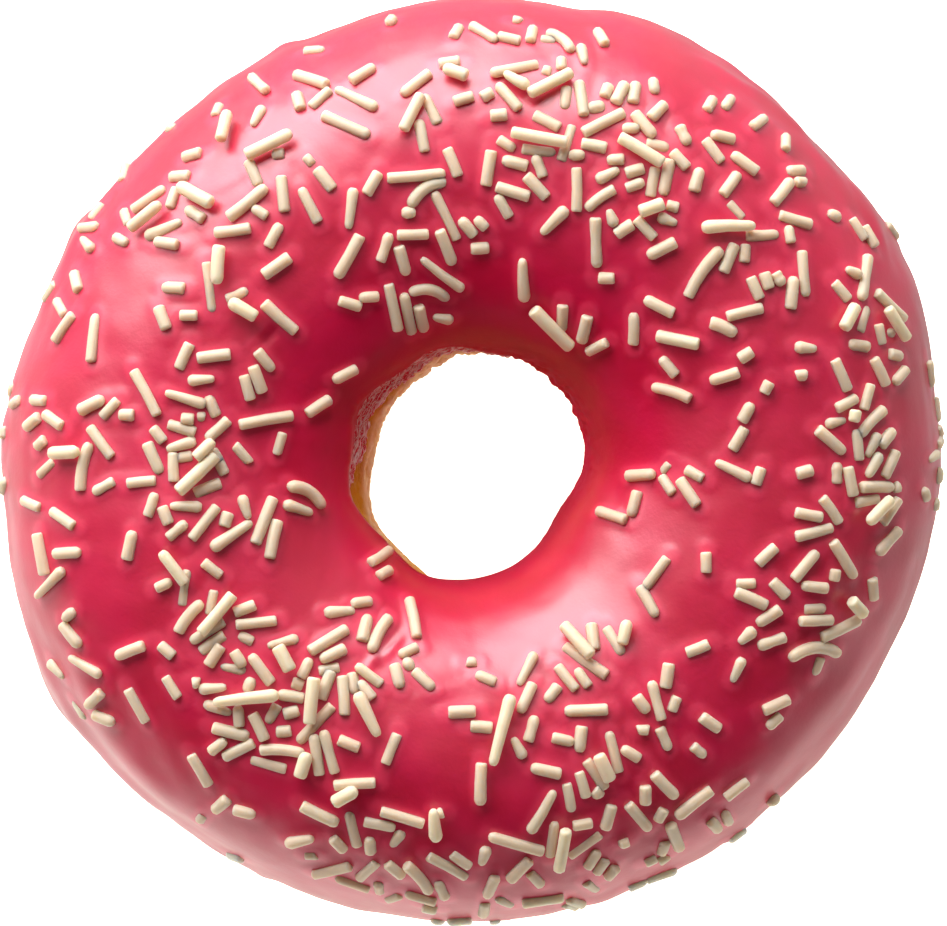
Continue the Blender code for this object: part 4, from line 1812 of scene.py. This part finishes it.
@dataclass(frozen=True)
class Studio:
    """A pale table in a soft, pale room, with the lamps and the camera overhead.

    Attributes:
        lens: The camera's focal length, in millimetres.
        view_width: How wide a strip of the table the picture takes in, at the height of the ring's middle.
        aside: How far the camera is from straight over the origin, along X and Y.
        floor_size: The table's width.
        floor_colour: The table's colour.
        glow: How strongly the table glows behind the doughnut and in front of it.
        sensor: The width of the camera's sensor, in millimetres.
    """

    lens: float = 200
    view_width: float = 90.4 * MM
    aside: tuple[float, float] = (0.31 * MM, -0.47 * MM)
    floor_size: float = 3.0
    floor_colour: Colour = (0.86, 0.86, 0.86)
    glow: tuple[float, float] = (0.14, 1.10)
    sensor: float = 36

    def build(self, ring: Ring) -> None:
        """Sets up the table, the lights and the camera.

        Args:
            ring: The circle through the doughnut's section.
        """
        self.lay_floor()
        self.light_room()
        for lamp in LAMPS:
            lamp.hang()
        self.place_camera(ring)
        bpy.context.scene.view_settings.view_transform = "Standard"

    def eye(self, ring: Ring) -> Vector:
        """Where the camera is."""
        return Vector((*self.aside, ring.height + self.view_width * self.lens / self.sensor))

    def lay_floor(self) -> None:
        """Lays the table, which glows a little, as a light table does, and shows plain white to the camera.
        In the icing's gloss it is painted black over the hole and darker towards the back.
        """
        bpy.ops.object.select_all(action="DESELECT")
        bpy.ops.mesh.primitive_plane_add(size=self.floor_size, location=(0, 0, 0))
        floor = bpy.context.active_object
        floor.name = "table"
        recipe = Recipe("table")
        recipe.set(Roughness=0.6, Specular_IOR_Level=0.2, Emission_Color=(1, 0.94, 0.82, 1))
        reach = recipe.tree.nodes.new("ShaderNodeVectorMath")
        reach.operation = "LENGTH"
        recipe.join(recipe.place, reach.inputs[0])
        back = recipe.tree.nodes.new("ShaderNodeVectorMath")
        back.operation = "DOT_PRODUCT"
        recipe.join(recipe.place, back.inputs[0])
        back.inputs[1].default_value = (0.2, 1, 0)
        rays = recipe.tree.nodes.new("ShaderNodeLightPath").outputs
        back_to_front = (0.06, -0.10)
        off_hole = recipe.range(reach.outputs["Value"], (16 * MM, 24 * MM), (0.0, 1.0))
        near = recipe.range(reach.outputs["Value"], (0.07, 0.40), (1.0, 0.0))
        # In the icing's gloss the table is black over the hole and darker towards the back: painted shade
        # seen only in reflections
        shine = recipe.range(back.outputs["Value"], back_to_front, (0.45, 1.0))
        shine = recipe.combine("MULTIPLY", shine, off_hole)
        shine = recipe.combine("MAXIMUM", shine, recipe.range(rays["Is Glossy Ray"], (0, 1), (1, 0)))
        recipe.join(recipe.mix(shine, (0.0, 0.0, 0.0), self.floor_colour), "Base Color")
        glow = recipe.range(back.outputs["Value"], back_to_front, self.glow)
        for share in (shine, off_hole, near):
            glow = recipe.combine("MULTIPLY", glow, share)
        seen = recipe.range(rays["Is Camera Ray"], (0, 1), (0, 2))
        recipe.join(recipe.combine("MAXIMUM", glow, seen), "Emission Strength")
        floor.data.materials.append(recipe.material)

    def light_room(self) -> None:
        """Fills the room with soft light, brighter at the back and low down, and white to the camera."""
        world = bpy.data.worlds.new("room")
        bpy.context.scene.world = world
        world.use_nodes = True
        nodes, links = world.node_tree.nodes, world.node_tree.links
        place = nodes.new("ShaderNodeTexCoord")
        split = nodes.new("ShaderNodeSeparateXYZ")
        links.new(place.outputs["Generated"], split.inputs[0])
        brighter = nodes.new("ShaderNodeMath")
        brighter.operation = "MAXIMUM"
        nodes["Background"].inputs["Color"].default_value = (1, 1, 1, 1)
        rises = ((0, "Y", (-0.5, 1), (0.0, 0.42)), (1, "Z", (0.0, 0.30), (0.70, 0)))
        for socket, axis, start, end in rises:
            share = nodes.new("ShaderNodeMapRange")
            for name, number in zip(("From Min", "From Max", "To Min", "To Max"), (*start, *end)):
                share.inputs[name].default_value = number
            links.new(split.outputs[axis], share.inputs["Value"])
            links.new(share.outputs["Result"], brighter.inputs[socket])
        seen = nodes.new("ShaderNodeLightPath")
        either = nodes.new("ShaderNodeMath")
        either.operation = "MAXIMUM"
        links.new(brighter.outputs[0], either.inputs[0])
        links.new(seen.outputs["Is Camera Ray"], either.inputs[1])
        links.new(either.outputs[0], nodes["Background"].inputs["Strength"])

    def place_camera(self, ring: Ring) -> None:
        """Hangs the camera straight over the ring, with the picture's top towards +Y.

        Args:
            ring: The circle through the doughnut's section.
        """
        camera = bpy.data.cameras.new("camera")
        camera.lens = self.lens
        camera.sensor_width = self.sensor
        camera.clip_start = 10 * MM
        holder = bpy.data.objects.new("camera", camera)
        bpy.context.scene.collection.objects.link(holder)
        holder.location = self.eye(ring)
        bpy.context.scene.camera = holder


def main() -> None:
    """Builds the doughnut piece by piece, then the studio round it, and reports the pieces."""
    logging.basicConfig(level=logging.INFO, format="%(name)s: %(message)s")
    ring = Ring.read("dough_ring")
    dough = DoughRing(ring).build()
    icing = IcingCoat(ring)
    coat = icing.build()
    film = HoleFilm(ring).build(dough, coat)
    studio = Studio()
    sprinkles = Sprinkles(ring, studio.eye(ring))
    icing.take_strands(coat, sprinkles.settle(coat))
    strands = sprinkles.build()
    studio.build(ring)
    for piece in (dough, coat, film, strands):
        LOG.info("%s: %d faces", piece.name, len(piece.data.polygons))


if __name__ == "__main__":
    main()
